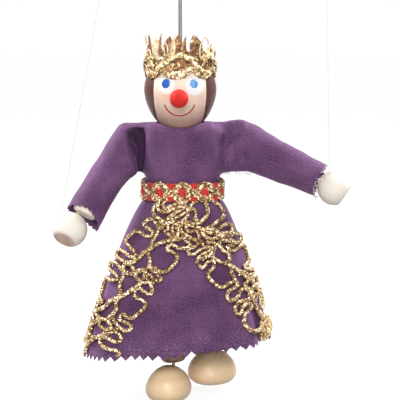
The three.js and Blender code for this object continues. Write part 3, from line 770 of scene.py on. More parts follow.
# Legs: a dowel on a cord under the torso, and a half-egg foot.
# The foot's shape is given by height and reach, both as shares of its full size.
legs = {
    "left": {"sign": -1, "cord": 4.4, "roll": 3.7, "pitch": 2, "yaw": 17},
    "right": {"sign": 1, "cord": 0.9, "roll": 9.2, "pitch": -7.2, "yaw": 60},
}
leg = {"radius": 7, "length": 83.3, "low": 2.2, "high": 4.6}
foot = {"width": 25.2, "length": 28.6, "height": 19, "heel": 9, "power": 2.15,
        "shape": [(0, 0.7), (0.02, 0.76), (0.09, 0.88), (0.2, 0.97), (0.33, 1), (0.48, 0.96), (0.64, 0.855),
                  (0.79, 0.68), (0.9, 0.48), (0.97, 0.25), (0.985, 0.0)]}
footZ = {side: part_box(f"foot_{side}")[0].z for side in legs}
for side, g in legs.items():
    out, z = trunk["hip"]
    place = (Matrix.Translation(point(trunk["middle"] + g["sign"] * out, 0, z))
             @ rotated(-g["pitch"], "X") @ rotated(-g["roll"], "Y"))
    profile = dowelProfile(leg["radius"], leg["length"], leg["low"], leg["low"], leg["high"])
    under = point(0, 0, -g["cord"] - leg["length"])
    wood = turned(f"leg_{side}_dowel", profile, 48, place @ Matrix.Translation(under))
    rideOn(addPiece(f"leg_{side}_dowel", wood, shadedLegWood), f"leg_{side}", "tan_wood", f"leg_dowel_{side}")
    ankle = Matrix.Translation(place @ under) @ rotated(-g["yaw"], "Z")
    rings = []
    for p in smoothLine([Vector((s, h, 0)) for h, s in foot["shape"]], 0.03)[:-1]:
        ring = []
        for k in range(72):
            t = 2 * math.pi * k / 72
            grow = squared(t, foot["power"])
            at = ankle @ point(p.x * foot["width"] / 2 * math.sin(t) * grow,
                               -foot["heel"] - p.x * foot["length"] / 2 * math.cos(t) * grow, 0)
            ring.append(Vector((at.x, at.y, footZ[side] + p.y * foot["height"] * mm)))
        rings.append(ring)
    bm = bmesh.new()
    loft(bm, rings)
    bmesh.ops.recalc_face_normals(bm, faces=bm.faces)
    mesh = meshFrom(f"foot_{side}_wood", bm)
    mesh.set_sharp_from_angle(angle=math.radians(40))
    rideOn(addPiece(f"foot_{side}_wood", mesh, tanWood), f"foot_{side}", "tan_wood", f"foot_{side}")
    addCord(f"hip_{side}_cord", place @ point(0, 0, 0.2), place @ point(0, 0, -g["cord"] - 0.4), 16,
            f"leg_{side}", f"hip_cord_{side}")
    addCord(f"ankle_{side}_cord", ankle @ point(0, 0, 0.4), ankle @ point(0, 0, -3.6), 16,
            f"foot_{side}", f"ankle_cord_{side}")
print("wood made")

# Dress: the skirt's surface, by angle (0 in front, to the viewer's right) and share of its length.
dress = {"shift": 1.2, "power": 2.6, "wide": 20.8, "deep": 14.2, "cloth": 0.45}
skirt = {"top": -118.05, "flareZ": -123.4, "hemZ": -207.0, "rise": 0.9, "hemWide": 51.5, "hemDeep": 29,
         "hemShift": -2.6, "tilt": 4.6, "flare": 0.74, "teeth": 54, "tooth": 2.7, "slope": 86, "band": 0.06,
         "columns": 216, "rows": 64, "clothWide": 0.24, "clothLong": 0.09,
         "folds": [(7, 0.5, 1.7), (11, 2.0, 1.02)]}


def skirtAt(angle, share):
    flare = max(share, 0.0) ** skirt["flare"]
    sine, cosine = math.sin(angle), math.cos(angle)
    waves = sum(depth * math.cos(count * angle + phase) for count, phase, depth in skirt["folds"])
    fold = flare * share * waves
    grow = squared(angle, dress["power"] - (dress["power"] - 2) * min(1, share * 3))
    wide = dress["wide"] + (skirt["hemWide"] - dress["wide"]) * flare + fold
    deep = dress["deep"] + (skirt["hemDeep"] - dress["deep"]) * flare + fold
    x = dress["shift"] + (skirt["hemShift"] - dress["shift"]) * share + wide * sine * grow
    z = skirt["flareZ"] + (skirt["hemZ"] - skirt["flareZ"]) * share + skirt["tilt"] * share * share * sine
    z += skirt["rise"] * share * max(cosine, 0) ** 4
    return point(x, -deep * cosine * grow, z)


def waistAt(angle, z, outset=0.0):
    grow = squared(angle, dress["power"])
    return point(dress["shift"] + (dress["wide"] + outset) * math.sin(angle) * grow,
                 -(dress["deep"] + outset) * math.cos(angle) * grow, z)


def clothFrom(name, bm, sharp):
    # A sheet of the dress, given the cloth's thickness inwards.
    mesh = evaluated(name, meshFrom(name + "Sheet", bm),
                     [("SOLIDIFY", {"thickness": dress["cloth"] * mm, "offset": -1})])
    mesh.set_sharp_from_angle(angle=math.radians(sharp))
    return mesh


bm = bmesh.new()
bmesh.ops.create_grid(bm, x_segments=skirt["columns"], y_segments=skirt["rows"], size=1)
clothAt = bm.verts.layers.float_vector.new("clothAt")
for vert in bm.verts:
    u, v = (vert.co.x + 1) / 2, (1 - vert.co.y) / 2
    angle = 2 * math.pi * (u - 0.5)
    vert[clothAt] = (u * skirt["clothWide"], v * skirt["clothLong"], 0)
    if v < skirt["band"]:
        vert.co = waistAt(angle, skirt["top"] + (skirt["flareZ"] - skirt["top"]) * v / skirt["band"])
        continue
    share = (v - skirt["band"]) / (1 - skirt["band"])
    if v > 0.999:
        saw = abs((u * skirt["teeth"]) % 1 - 0.5) * 2
        share += (saw - 0.5) * skirt["tooth"] / skirt["slope"]
    vert.co = skirtAt(angle, share)
bmesh.ops.remove_doubles(bm, verts=bm.verts, dist=1e-6)
bmesh.ops.recalc_face_normals(bm, faces=bm.faces)
skirtSheet = bm.copy()
skirtPiece = addPiece("skirt_cloth", clothFrom("skirt_cloth", bm, 50), purpleCloth)
rideOn(skirtPiece, "torso", "purple_cloth", "skirt")
print("skirt made", len(skirtPiece.data.vertices))

# Upper dress: solids for the body, the shoulders and the sleeves, joined, cut open and turned into cloth.
# Body: share of its width and depth, squareness, height.
# Shoulders: x, top, bottom, depth in front and behind.
# Sleeves: outlines by distance along the arm, and how the cuff is cut: back in front, and longer below.
bodyRows = [(0.92, 0.9, 3.0, -79.6), (0.97, 0.92, 3.4, -82), (0.99, 0.935, 3.7, -84), (1, 0.95, 4.0, -88),
            (1, 0.97, 4.4, -94), (1, 1, 4.4, -103), (1, 1, 3.6, -109), (1, 1, 2.6, -113), (1, 1, 2.6, -122)]
shoulders = [[(-33, -82.0, -98, 6, 6), (-28, -80.6, -104, 8, 6.8), (-24, -80.3, -107.5, 9, 7.2),
              (-20.2, -80.2, -109, 9.6, 8), (-17, -80.2, -110, 10.4, 10)],
             [(16, -80.0, -110, 10.4, 9), (22.8, -79.9, -108.4, 10.6, 9), (26, -79.4, -107.8, 10, 8.5),
              (31, -78.7, -107.8, 9.4, 8.5), (36, -79.4, -108, 9, 8.5)]]
sleeves = {
    "left": {"top": [(-14, 0.4), (-11, 2.4), (-8, 6.6), (-5, 9.3), (0, 9.6), (7, 9.6), (18, 9.5), (28.6, 9.6),
                     (40, 9.9), (58, 9.6)],
             "low": [(-14, -6), (-8, -13), (-2, -15), (7, -15.5), (13, -13.4), (21, -11), (27, -10.1),
                     (37, -10.3), (47.5, -10.8), (58, -11.6)],
             "front": [(-14, 4), (-8, 6.4), (-2, 8), (4, 8.6), (30, 9.2), (58, 9.2)],
             "back": [(-14, 5), (0, 7.5), (12, 8.8), (58, 9)], "end": 50.6, "open": 8.2, "drop": 4.2},
    "right": {"top": [(-13, 8.9), (-8, 11.2), (-5, 13), (-1, 14.3), (3.5, 14.7), (14, 13.1), (23, 12.2),
                      (32, 11.4), (41, 10.5), (58, 9.4)],
              "low": [(-13, -13), (-3, -15.4), (6, -12.9), (12, -10.8), (28, -9.8), (41, -8.9), (58, -8.8)],
              "front": [(-13, 8), (-4, 8.8), (6, 9.2), (14, 9.4), (30, 9.2), (58, 8.6)],
              "back": [(-13, 7), (0, 8), (14, 9.4), (58, 8.6)], "end": 49.6, "open": 2.4, "drop": 0.2},
}
# The shoulder line, by x, and how far the cloth drops from it over the body and over each shoulder.
tunic = {"ridge": [(-34.1, -81.4), (-31.3, -80.5), (-12.4, -80.5), (13.7, -80.2), (23.1, -80), (28.7, -79.1),
                   (36, -78.6)],
         "bodyDrop": 6.5, "leftDrop": 0.022, "rightDrop": 0.09, "voxel": 0.8, "smooth": 3,
         "teeth": 19, "tooth": 2.3, "shoulderRound": (0.7, 0.8), "sleeveRound": 0.9}
# The deep fold beside the doll's right arm: a pocket, by x and z, wide at the front and narrow behind.
pocket = {"mouth": [(-31.9, -83.4), (-23.7, -83.2), (-20.1, -83.9), (-18.9, -86.6), (-18.8, -94.9),
                    (-19.4, -101.5), (-20.7, -108.6), (-24.2, -108.2), (-25.6, -100.4), (-28.1, -92.1),
                    (-30.5, -85.4)],
          "bottom": [(-25.6, -83.4), (-23.0, -82.8), (-20.3, -83.5), (-19.2, -86.4), (-19.2, -94.9),
                     (-19.5, -101.5), (-20.7, -109.0), (-23.6, -108.8), (-24.1, -100.4), (-24.9, -92.1),
                     (-25.5, -86.0)],
          "depths": ((-18, 0), (-10, 0.1), (-6, 0.55), (-4, 0.85), (-2.4, 1)),
          "softX": (-33, -20), "softZ": (-111, -83), "soften": 5,
          "shadeX": (-34, -18), "shadeZ": (-109.5, -82.6)}
# The shallow web beside the doll's left arm, with a crease at its root and a drag across it.
web = {"x": (22, 36), "front": -4, "top": -80, "depth": 9.2,
       "crease": 1.6, "creaseAt": 23.4, "creaseWide": 0.7, "fade": 0.1, "fadeFrom": 28,
       "dragX": 35.5, "dragZ": -79.5, "dragSlope": 1.15, "dragRun": 1.52,
       "ridge": 0.9, "ridgeWide": 1.2, "dip": 1.3, "dipAt": -2.8, "dipWide": 1.9}
# Room round the right arm's wood: radius, and how much less of it there is by the shoulder.
armRoom = {"x": (-40, -18), "radius": 7.9, "less": 2.5, "start": 0.6, "over": 4}


def along(table, t):
    for (t0, v0), (t1, v1) in zip(table, table[1:]):
        if t <= t1:
            return v0 + (v1 - v0) * smoothStep((t - t0) / (t1 - t0))
    return table[-1][1]


def soften(bm, verts, factor):
    bmesh.ops.smooth_vert(bm, verts=verts, factor=factor, use_axis_x=True, use_axis_y=True, use_axis_z=True)


def cutAway(name, mesh, cutter, **values):
    # The mesh with the cutter's inside taken out of it.
    holder = bpy.data.objects.new("cutterHolder", cutter)
    scene.collection.objects.link(holder)
    values.update(object=holder, operation="DIFFERENCE", solver="EXACT")
    made = evaluated(name, mesh, [("BOOLEAN", values)])
    bpy.data.objects.remove(holder)
    return made


def cuffEnd(side, angle):
    # How far along the arm the cloth ends, at this angle round it.
    s = sleeves[side]
    ahead = max(0.0, -facings[side] * math.cos(angle))
    return s["end"] - s["open"] * ahead ** 1.5 + s["drop"] * max(0.0, -math.sin(angle)) ** 2


bm = bmesh.new()
rows = []
for wide, deep, power, z in bodyRows:
    row = []
    for k in range(96):
        angle = 2 * math.pi * k / 96
        grow = squared(angle, power)
        row.append(point(dress["shift"] + dress["wide"] * wide * math.sin(angle) * grow,
                         -dress["deep"] * deep * math.cos(angle) * grow, z))
    rows.append(row)
loft(bm, rows)
flat, tall = tunic["shoulderRound"]
for table in shoulders:
    rows = []
    for x, top, low, front, back in table:
        row = []
        for q in (2 * math.pi * (k + 0.5) / 40 for k in range(40)):
            rise = math.copysign(abs(math.sin(q)) ** tall, math.sin(q))
            row.append(point(x, (-front if math.cos(q) > 0 else back) * abs(math.cos(q)) ** flat,
                             (top + low) / 2 + (top - low) / 2 * rise))
        rows.append(row)
    loft(bm, rows)
facings = {}
for side, a in arms.items():
    s, place = sleeves[side], armPlace(a)
    # The arm's own y points forward on the left and back on the right.
    facing = 1 if (place.to_3x3() @ Vector((0, 1, 0))).y > 0 else -1
    facings[side] = facing
    first, last = s["top"][0][0], s["top"][-1][0]
    rows = []
    for t in (first + k * (last - first) / 36 for k in range(37)):
        top, low, front, back = (along(s[key], t) for key in ("top", "low", "front", "back"))
        rows.append([place @ point(t, facing * (-front if math.cos(q) > 0 else back)
                                   * abs(math.cos(q)) ** tunic["sleeveRound"],
                                   (top + low) / 2 + (top - low) / 2 * math.sin(q))
                     for q in (2 * math.pi * (n + 0.5) / 44 for n in range(44))])
    loft(bm, rows)
bmesh.ops.recalc_face_normals(bm, faces=bm.faces)
hole = bmesh.new()
loft(hole, [[point(x0 + (x1 - x0) * share, y, z0 + (z1 - z0) * share)
             for (x0, z0), (x1, z1) in zip(pocket["mouth"], pocket["bottom"])]
            for y, share in pocket["depths"]])
bmesh.ops.recalc_face_normals(hole, faces=hole.faces)
remesh = [("REMESH", {"mode": "VOXEL", "voxel_size": tunic["voxel"] * mm, "use_smooth_shade": True})]
volume = evaluated("tunicJoined", meshFrom("tunicRaw", bm), remesh)
volume = cutAway("tunicHollow", volume, meshFrom("pocket", hole, smooth=False))
volume = evaluated("tunicVolume", volume, remesh)
bm = bmesh.new()
bm.from_mesh(volume)
for vert in bm.verts:
    x, y = vert.co.x / mm, vert.co.y / mm
    if -34 < x < 36:
        beside = smoothStep((abs(x - dress["shift"]) - 15) / 9)
        drop = (1 - beside) * tunic["bodyDrop"] * (abs(y) / dress["deep"]) ** 5
        drop += beside * y * y * (tunic["leftDrop"] if x < 0 else tunic["rightDrop"])
        vert.co.z = min(vert.co.z, (along(tunic["ridge"], x) - drop) * mm)
for _ in range(tunic["smooth"]):
    soften(bm, bm.verts, 0.5)
armBack = {side: armPlace(a).inverted() for side, a in arms.items()}
for vert in bm.verts:
    x, y, z = vert.co / mm
    if web["x"][0] < x < web["x"][1] and y < web["front"] and z < web["top"]:
        room = web["depth"] - web["crease"] * bump(x, web["creaseAt"], web["creaseWide"])
        room -= web["fade"] * max(0.0, x - web["fadeFrom"])
        across = (z - web["dragZ"] - web["dragSlope"] * (x - web["dragX"])) / web["dragRun"]
        room += (web["ridge"] * bump(across, 0, web["ridgeWide"])
                 - web["dip"] * bump(across, web["dipAt"], web["dipWide"]))
        vert.co.y = max(vert.co.y, -room * mm)
    if armRoom["x"][0] < x < armRoom["x"][1]:
        at = armBack["left"] @ vert.co / mm
        around = math.hypot(at.y, at.z)
        near = max(0.0, 1 - (at.x - armRoom["start"]) / armRoom["over"])
        wanted = armRoom["radius"] - armRoom["less"] * near ** 2
        if at.x > armRoom["start"] and around < wanted:
            at.y, at.z = at.y * wanted / around, at.z * wanted / around
            vert.co = armPlace(arms["left"]) @ (at * mm)
soften(bm, bm.verts, 0.4)
beside = [v for v in bm.verts if pocket["softX"][0] < v.co.x / mm < pocket["softX"][1]
          and pocket["softZ"][0] < v.co.z / mm < pocket["softZ"][1] and v.co.y < 0]
for _ in range(pocket["soften"]):
    soften(bm, beside, 0.5)
for vert in bm.verts:
    # Soft hollows and drags in the cloth.
    at = vert.co / mm
    soft = 0.45 * noise.noise(at / 11) + 0.14 * noise.noise(at / 4.2 + Vector((7, 0, 0)))
    vert.co += vert.normal * soft * mm
tunicMesh = meshFrom("tunicSmooth", bm)
print("tunic volume", len(tunicMesh.vertices))

# Cutters: the head's own shape at the neck, the waist, and a pinked end on each sleeve.
neckLine = [(0, -84.4), (9.4, -84.3), (12.0, -82.0), (14.6, -79.2), (16.6, -76.3), (18.9, -71.6), (21, -63),
            (0, -60)]
waistCut = {"middle": -168, "wide": 0.46, "deep": 0.5}
random.seed(5)
cutFlag = bpy.data.materials.new("cutFlag")
cutter = bmesh.new()
turnedMesh(cutter, neckLine, 48)
cutters = [meshFrom("neckCutter", cutter, smooth=False)]
cutter = bmesh.new()
bmesh.ops.create_cube(cutter, size=0.1, matrix=Matrix.Translation(point(0, 0, waistCut["middle"]))
                      @ Matrix.Diagonal((waistCut["wide"], waistCut["deep"], 1, 1)))
cutters.append(meshFrom("waistCutter", cutter, smooth=False))
for side, a in arms.items():
    cutter = bmesh.new()
    place = armPlace(a)
    rows = []
    for reach, out in ((0, 22), (90, 22)):
        row = []
        for k in range(2 * tunic["teeth"]):
            q = math.pi * k / tunic["teeth"]
            end = cuffEnd(side, q) + tunic["tooth"] * (0.5 if k % 2 else -0.5) * random.uniform(0.7, 1.2)
            row.append(place @ point(max(end, reach), out * math.cos(q), out * math.sin(q)))
        rows.append(row)
    middle = place @ point(sleeves[side]["end"], 0, 0)
    loft(cutter, [[middle.lerp(p, 0.04) for p in rows[0]], *rows])
    bmesh.ops.recalc_face_normals(cutter, faces=cutter.faces)
    cutters.append(meshFrom(f"cuffCutter_{side}", cutter, smooth=False))
tunicMesh.materials.append(purpleCloth)
for mesh in cutters:
    mesh.materials.append(cutFlag)
    tunicMesh = cutAway("tunicCut", tunicMesh, mesh, material_mode="TRANSFER")
# The faces that a cutter left are the openings.
flags = [n for n, m in enumerate(tunicMesh.materials) if m and m.name == "cutFlag"]
bm = bmesh.new()
bm.from_mesh(tunicMesh)
bmesh.ops.delete(bm, geom=[f for f in bm.faces if f.material_index in flags], context="FACES")
print("tunic cut", len(bm.verts))

# The weave runs along each sleeve and straight down the body.
# The third part of clothAt is the deep fold's painted shade: its bottom, and the cloth that slopes into it.
clothAt = bm.verts.layers.float_vector.new("clothAt")
for vert in bm.verts:
    at = vert.co / mm
    side = "left" if at.x < -27 else "right" if at.x > 30 else None
    if side:
        near = armBack[side] @ vert.co
        vert[clothAt] = (near.x, 0.0095 * math.atan2(near.z, near.y), 0)
    else:
        wrap = math.copysign(smoothStep((abs(at.x - dress["shift"]) - 17) / 3), at.x)
        vert[clothAt] = (vert.co.x - vert.co.y * wrap, vert.co.z, 0)
    (left, right), (low, top) = pocket["shadeX"], pocket["shadeZ"]
    if left < at.x < right and low < at.z < top and at.y < 0:
        deep = smoothStep((9.5 + at.y) / 3.6) * smoothStep((at.x + 27) / 4)
        slope = smoothStep((at.x + 34.8 + 0.36 * (82 + at.z)) / 6) * smoothStep((-18.6 - at.x) / 1.4)
        slope *= smoothStep((-82.4 - at.z) / 3.6) * smoothStep((at.z - low) / 5)
        vert[clothAt].z = max(deep, slope)

# Seams: the cloth is parted at these x, inner and outer, and the body's part rides on the torso.
seams = {"left": (-14, -26), "right": (16, 27)}
farOut = 200
for x in sorted(x for pair in seams.values() for x in pair):
    bmesh.ops.bisect_plane(bm, geom=list(bm.verts) + list(bm.edges) + list(bm.faces), dist=1e-7,
                           plane_co=point(x, 0, 0), plane_no=(1, 0, 0))
parts = [("dress_body", seams["left"][0], seams["right"][0])]
for side, (inner, outer) in seams.items():
    parts.append((f"dress_{side}_shoulder", *sorted((inner, outer))))
    parts.append((f"dress_{side}_sleeve", *sorted((outer, math.copysign(farOut, outer)))))
for name, low, high in parts:
    part = bm.copy()
    bmesh.ops.delete(part, context="FACES",
                     geom=[f for f in part.faces if not low < f.calc_center_median().x / mm < high])
    piece = addPiece(name, clothFrom(name, part, 55), purpleCloth)
    if name == "dress_body":
        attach(piece, "torso")
        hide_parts("bodice")
    else:
        side = "left" if "left" in name else "right"
        inner, outer = seams[side]
        if name.endswith("shoulder"):
            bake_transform(piece)
        else:
            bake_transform(piece)
            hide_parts(f"sleeve_{side}")
    print(name, len(piece.data.vertices))
bm.free()

# Loose white threads, frayed out of the edges of the cuff and the underarm on the doll's left.
fray = {"cuff": 26, "cuffTurns": (110, 290), "cuffLength": 3.4, "underarm": 30, "underarmX": (23.5, 41),
        "underarmZ": -108.1, "underarmLength": 2.0, "radius": 0.12}
random.seed(23)


def anyWay():
    return Vector([random.uniform(-1, 1) for _ in range(3)])


def frayed(name, starts, length, place, ahead):
    lines = []
    for at in starts:
        curl = [at]
        aim = anyWay().normalized() + ahead
        for _ in range(5):
            aim = (aim + 0.8 * anyWay()).normalized()
            curl.append(curl[-1] + length / 5 * aim)
        lines.append(smoothLine([place @ (p * mm) for p in curl], 0.25 * mm))
    made = addPiece(name, cordMesh(name, lines, fray["radius"] * mm, 5), frayWhite)
    return made


s = sleeves["right"]
starts = []
for _ in range(fray["cuff"]):
    q = math.radians(random.uniform(*fray["cuffTurns"]))
    # A few rounds find where the sleeve's own surface meets its cut edge.
    polar = q
    for _ in range(4):
        t = cuffEnd("right", polar) + 0.3
        top, low = along(s["top"], t), along(s["low"], t)
        depth = along(s["front"], t) * math.copysign(abs(math.cos(q)) ** tunic["sleeveRound"], math.cos(q))
        at = Vector((t, depth, (top + low) / 2 + (top - low) / 2 * math.sin(q)))
        polar = math.atan2(at.z, at.y)
    starts.append(at)
cuffThreads = frayed("cuff_threads", starts, fray["cuffLength"], armPlace(arms["right"]),
                     Vector((1.6, 0, 0)))
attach(cuffThreads, "arm_right")
starts = [Vector((x, random.uniform(-3.5, -0.5),
                  fray["underarmZ"] - 0.12 * max(0.0, x - 34) + random.uniform(-0.3, 0.3)))
          for x in (random.uniform(*fray["underarmX"]) for _ in range(fray["underarm"]))]
underarmThreads = frayed("underarm_threads", starts, fray["underarmLength"], Matrix.Identity(4),
                         Vector((0, 0, -0.6)))
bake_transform(underarmThreads)

# Belt: four flat bundles of cord, braided round the waist over a plain backing.
belt = {"low": -123.1, "high": -112.4, "repeats": 5, "swing": 3.7, "lift": 1.55, "over": 0.55, "cross": 0.3,
        "steps": 900, "samples": 1440, "inset": 0.6, "backing": (0.35, 1.0)}
bundles = {"gold": {"phases": (0, 180), "cords": 4, "apart": 1.12, "radius": 0.62, "side": -1},
           "red": {"phases": (90, 270), "cords": 3, "apart": 0.92, "radius": 0.58, "side": 1}}
dense = [waistAt(2 * math.pi * k / belt["samples"], 0, 1.2) for k in range(belt["samples"] + 1)]
lengths = [0.0]
for p, q in zip(dense, dense[1:]):
    lengths.append(lengths[-1] + (q - p).length)


def beltAt(turn, height, outset):
    # A place on the belt by its share of the way round, so that the braid's pattern is even.
    wanted = (turn % 1) * lengths[-1]
    low = 0
    high = len(lengths) - 1
    while high - low > 1:
        middle = (low + high) // 2
        low, high = (middle, high) if lengths[middle] <= wanted else (low, middle)
    share = (wanted - lengths[low]) / (lengths[low + 1] - lengths[low])
    angle = 2 * math.pi * (low + share) / belt["samples"]
    return waistAt(angle, (belt["low"] + belt["high"]) / 2 + height, outset)


for kind, b in bundles.items():
    lines = []
    for phase in b["phases"]:
        for n in range(b["cords"]):
            offset = (n - (b["cords"] - 1) / 2) * b["apart"]
            line = []
            for turn in (k / belt["steps"] for k in range(belt["steps"])):
                t = 2 * math.pi * belt["repeats"] * turn + math.radians(phase)
                height = belt["swing"] * math.cos(t) + offset
                rise = b["side"] * belt["over"] * math.cos(4 * t)
                line.append(beltAt(turn, height, belt["lift"] + rise + belt["cross"] * math.sin(t)))
            lines.append(line)
    mesh = cordMesh(f"belt_{kind}_braid", lines, b["radius"] * mm, 8, cyclic=True)
    piece = addPiece(f"belt_{kind}_braid", mesh, trimGold if kind == "gold" else beltRed)
    rideOn(piece, "torso", "red_gold_braid", *(["belt"] if kind == "gold" else []))
bm = bmesh.new()
rows = []
under, over = belt["backing"]
low, high = belt["low"] + belt["inset"], belt["high"] - belt["inset"]
for z, outset in ((low, under), (low, over), (high, over), (high, under)):
    ring = bmesh.ops.create_circle(bm, cap_ends=False, segments=144, radius=1)["verts"]
    for k, vert in enumerate(ring):
        vert.co = waistAt(2 * math.pi * k / 144, z, outset)
    rows.append(list({e for v in ring for e in v.link_edges}))
for n in range(4):
    bmesh.ops.bridge_loops(bm, edges=rows[n] + rows[(n + 1) % 4])
bmesh.ops.recalc_face_normals(bm, faces=bm.faces)
mesh = meshFrom("belt_backing", bm)
mesh.set_sharp_from_angle(angle=math.radians(40))
rideOn(addPiece("belt_backing", mesh, trimGold), "torso", "red_gold_braid")
print("belt made")

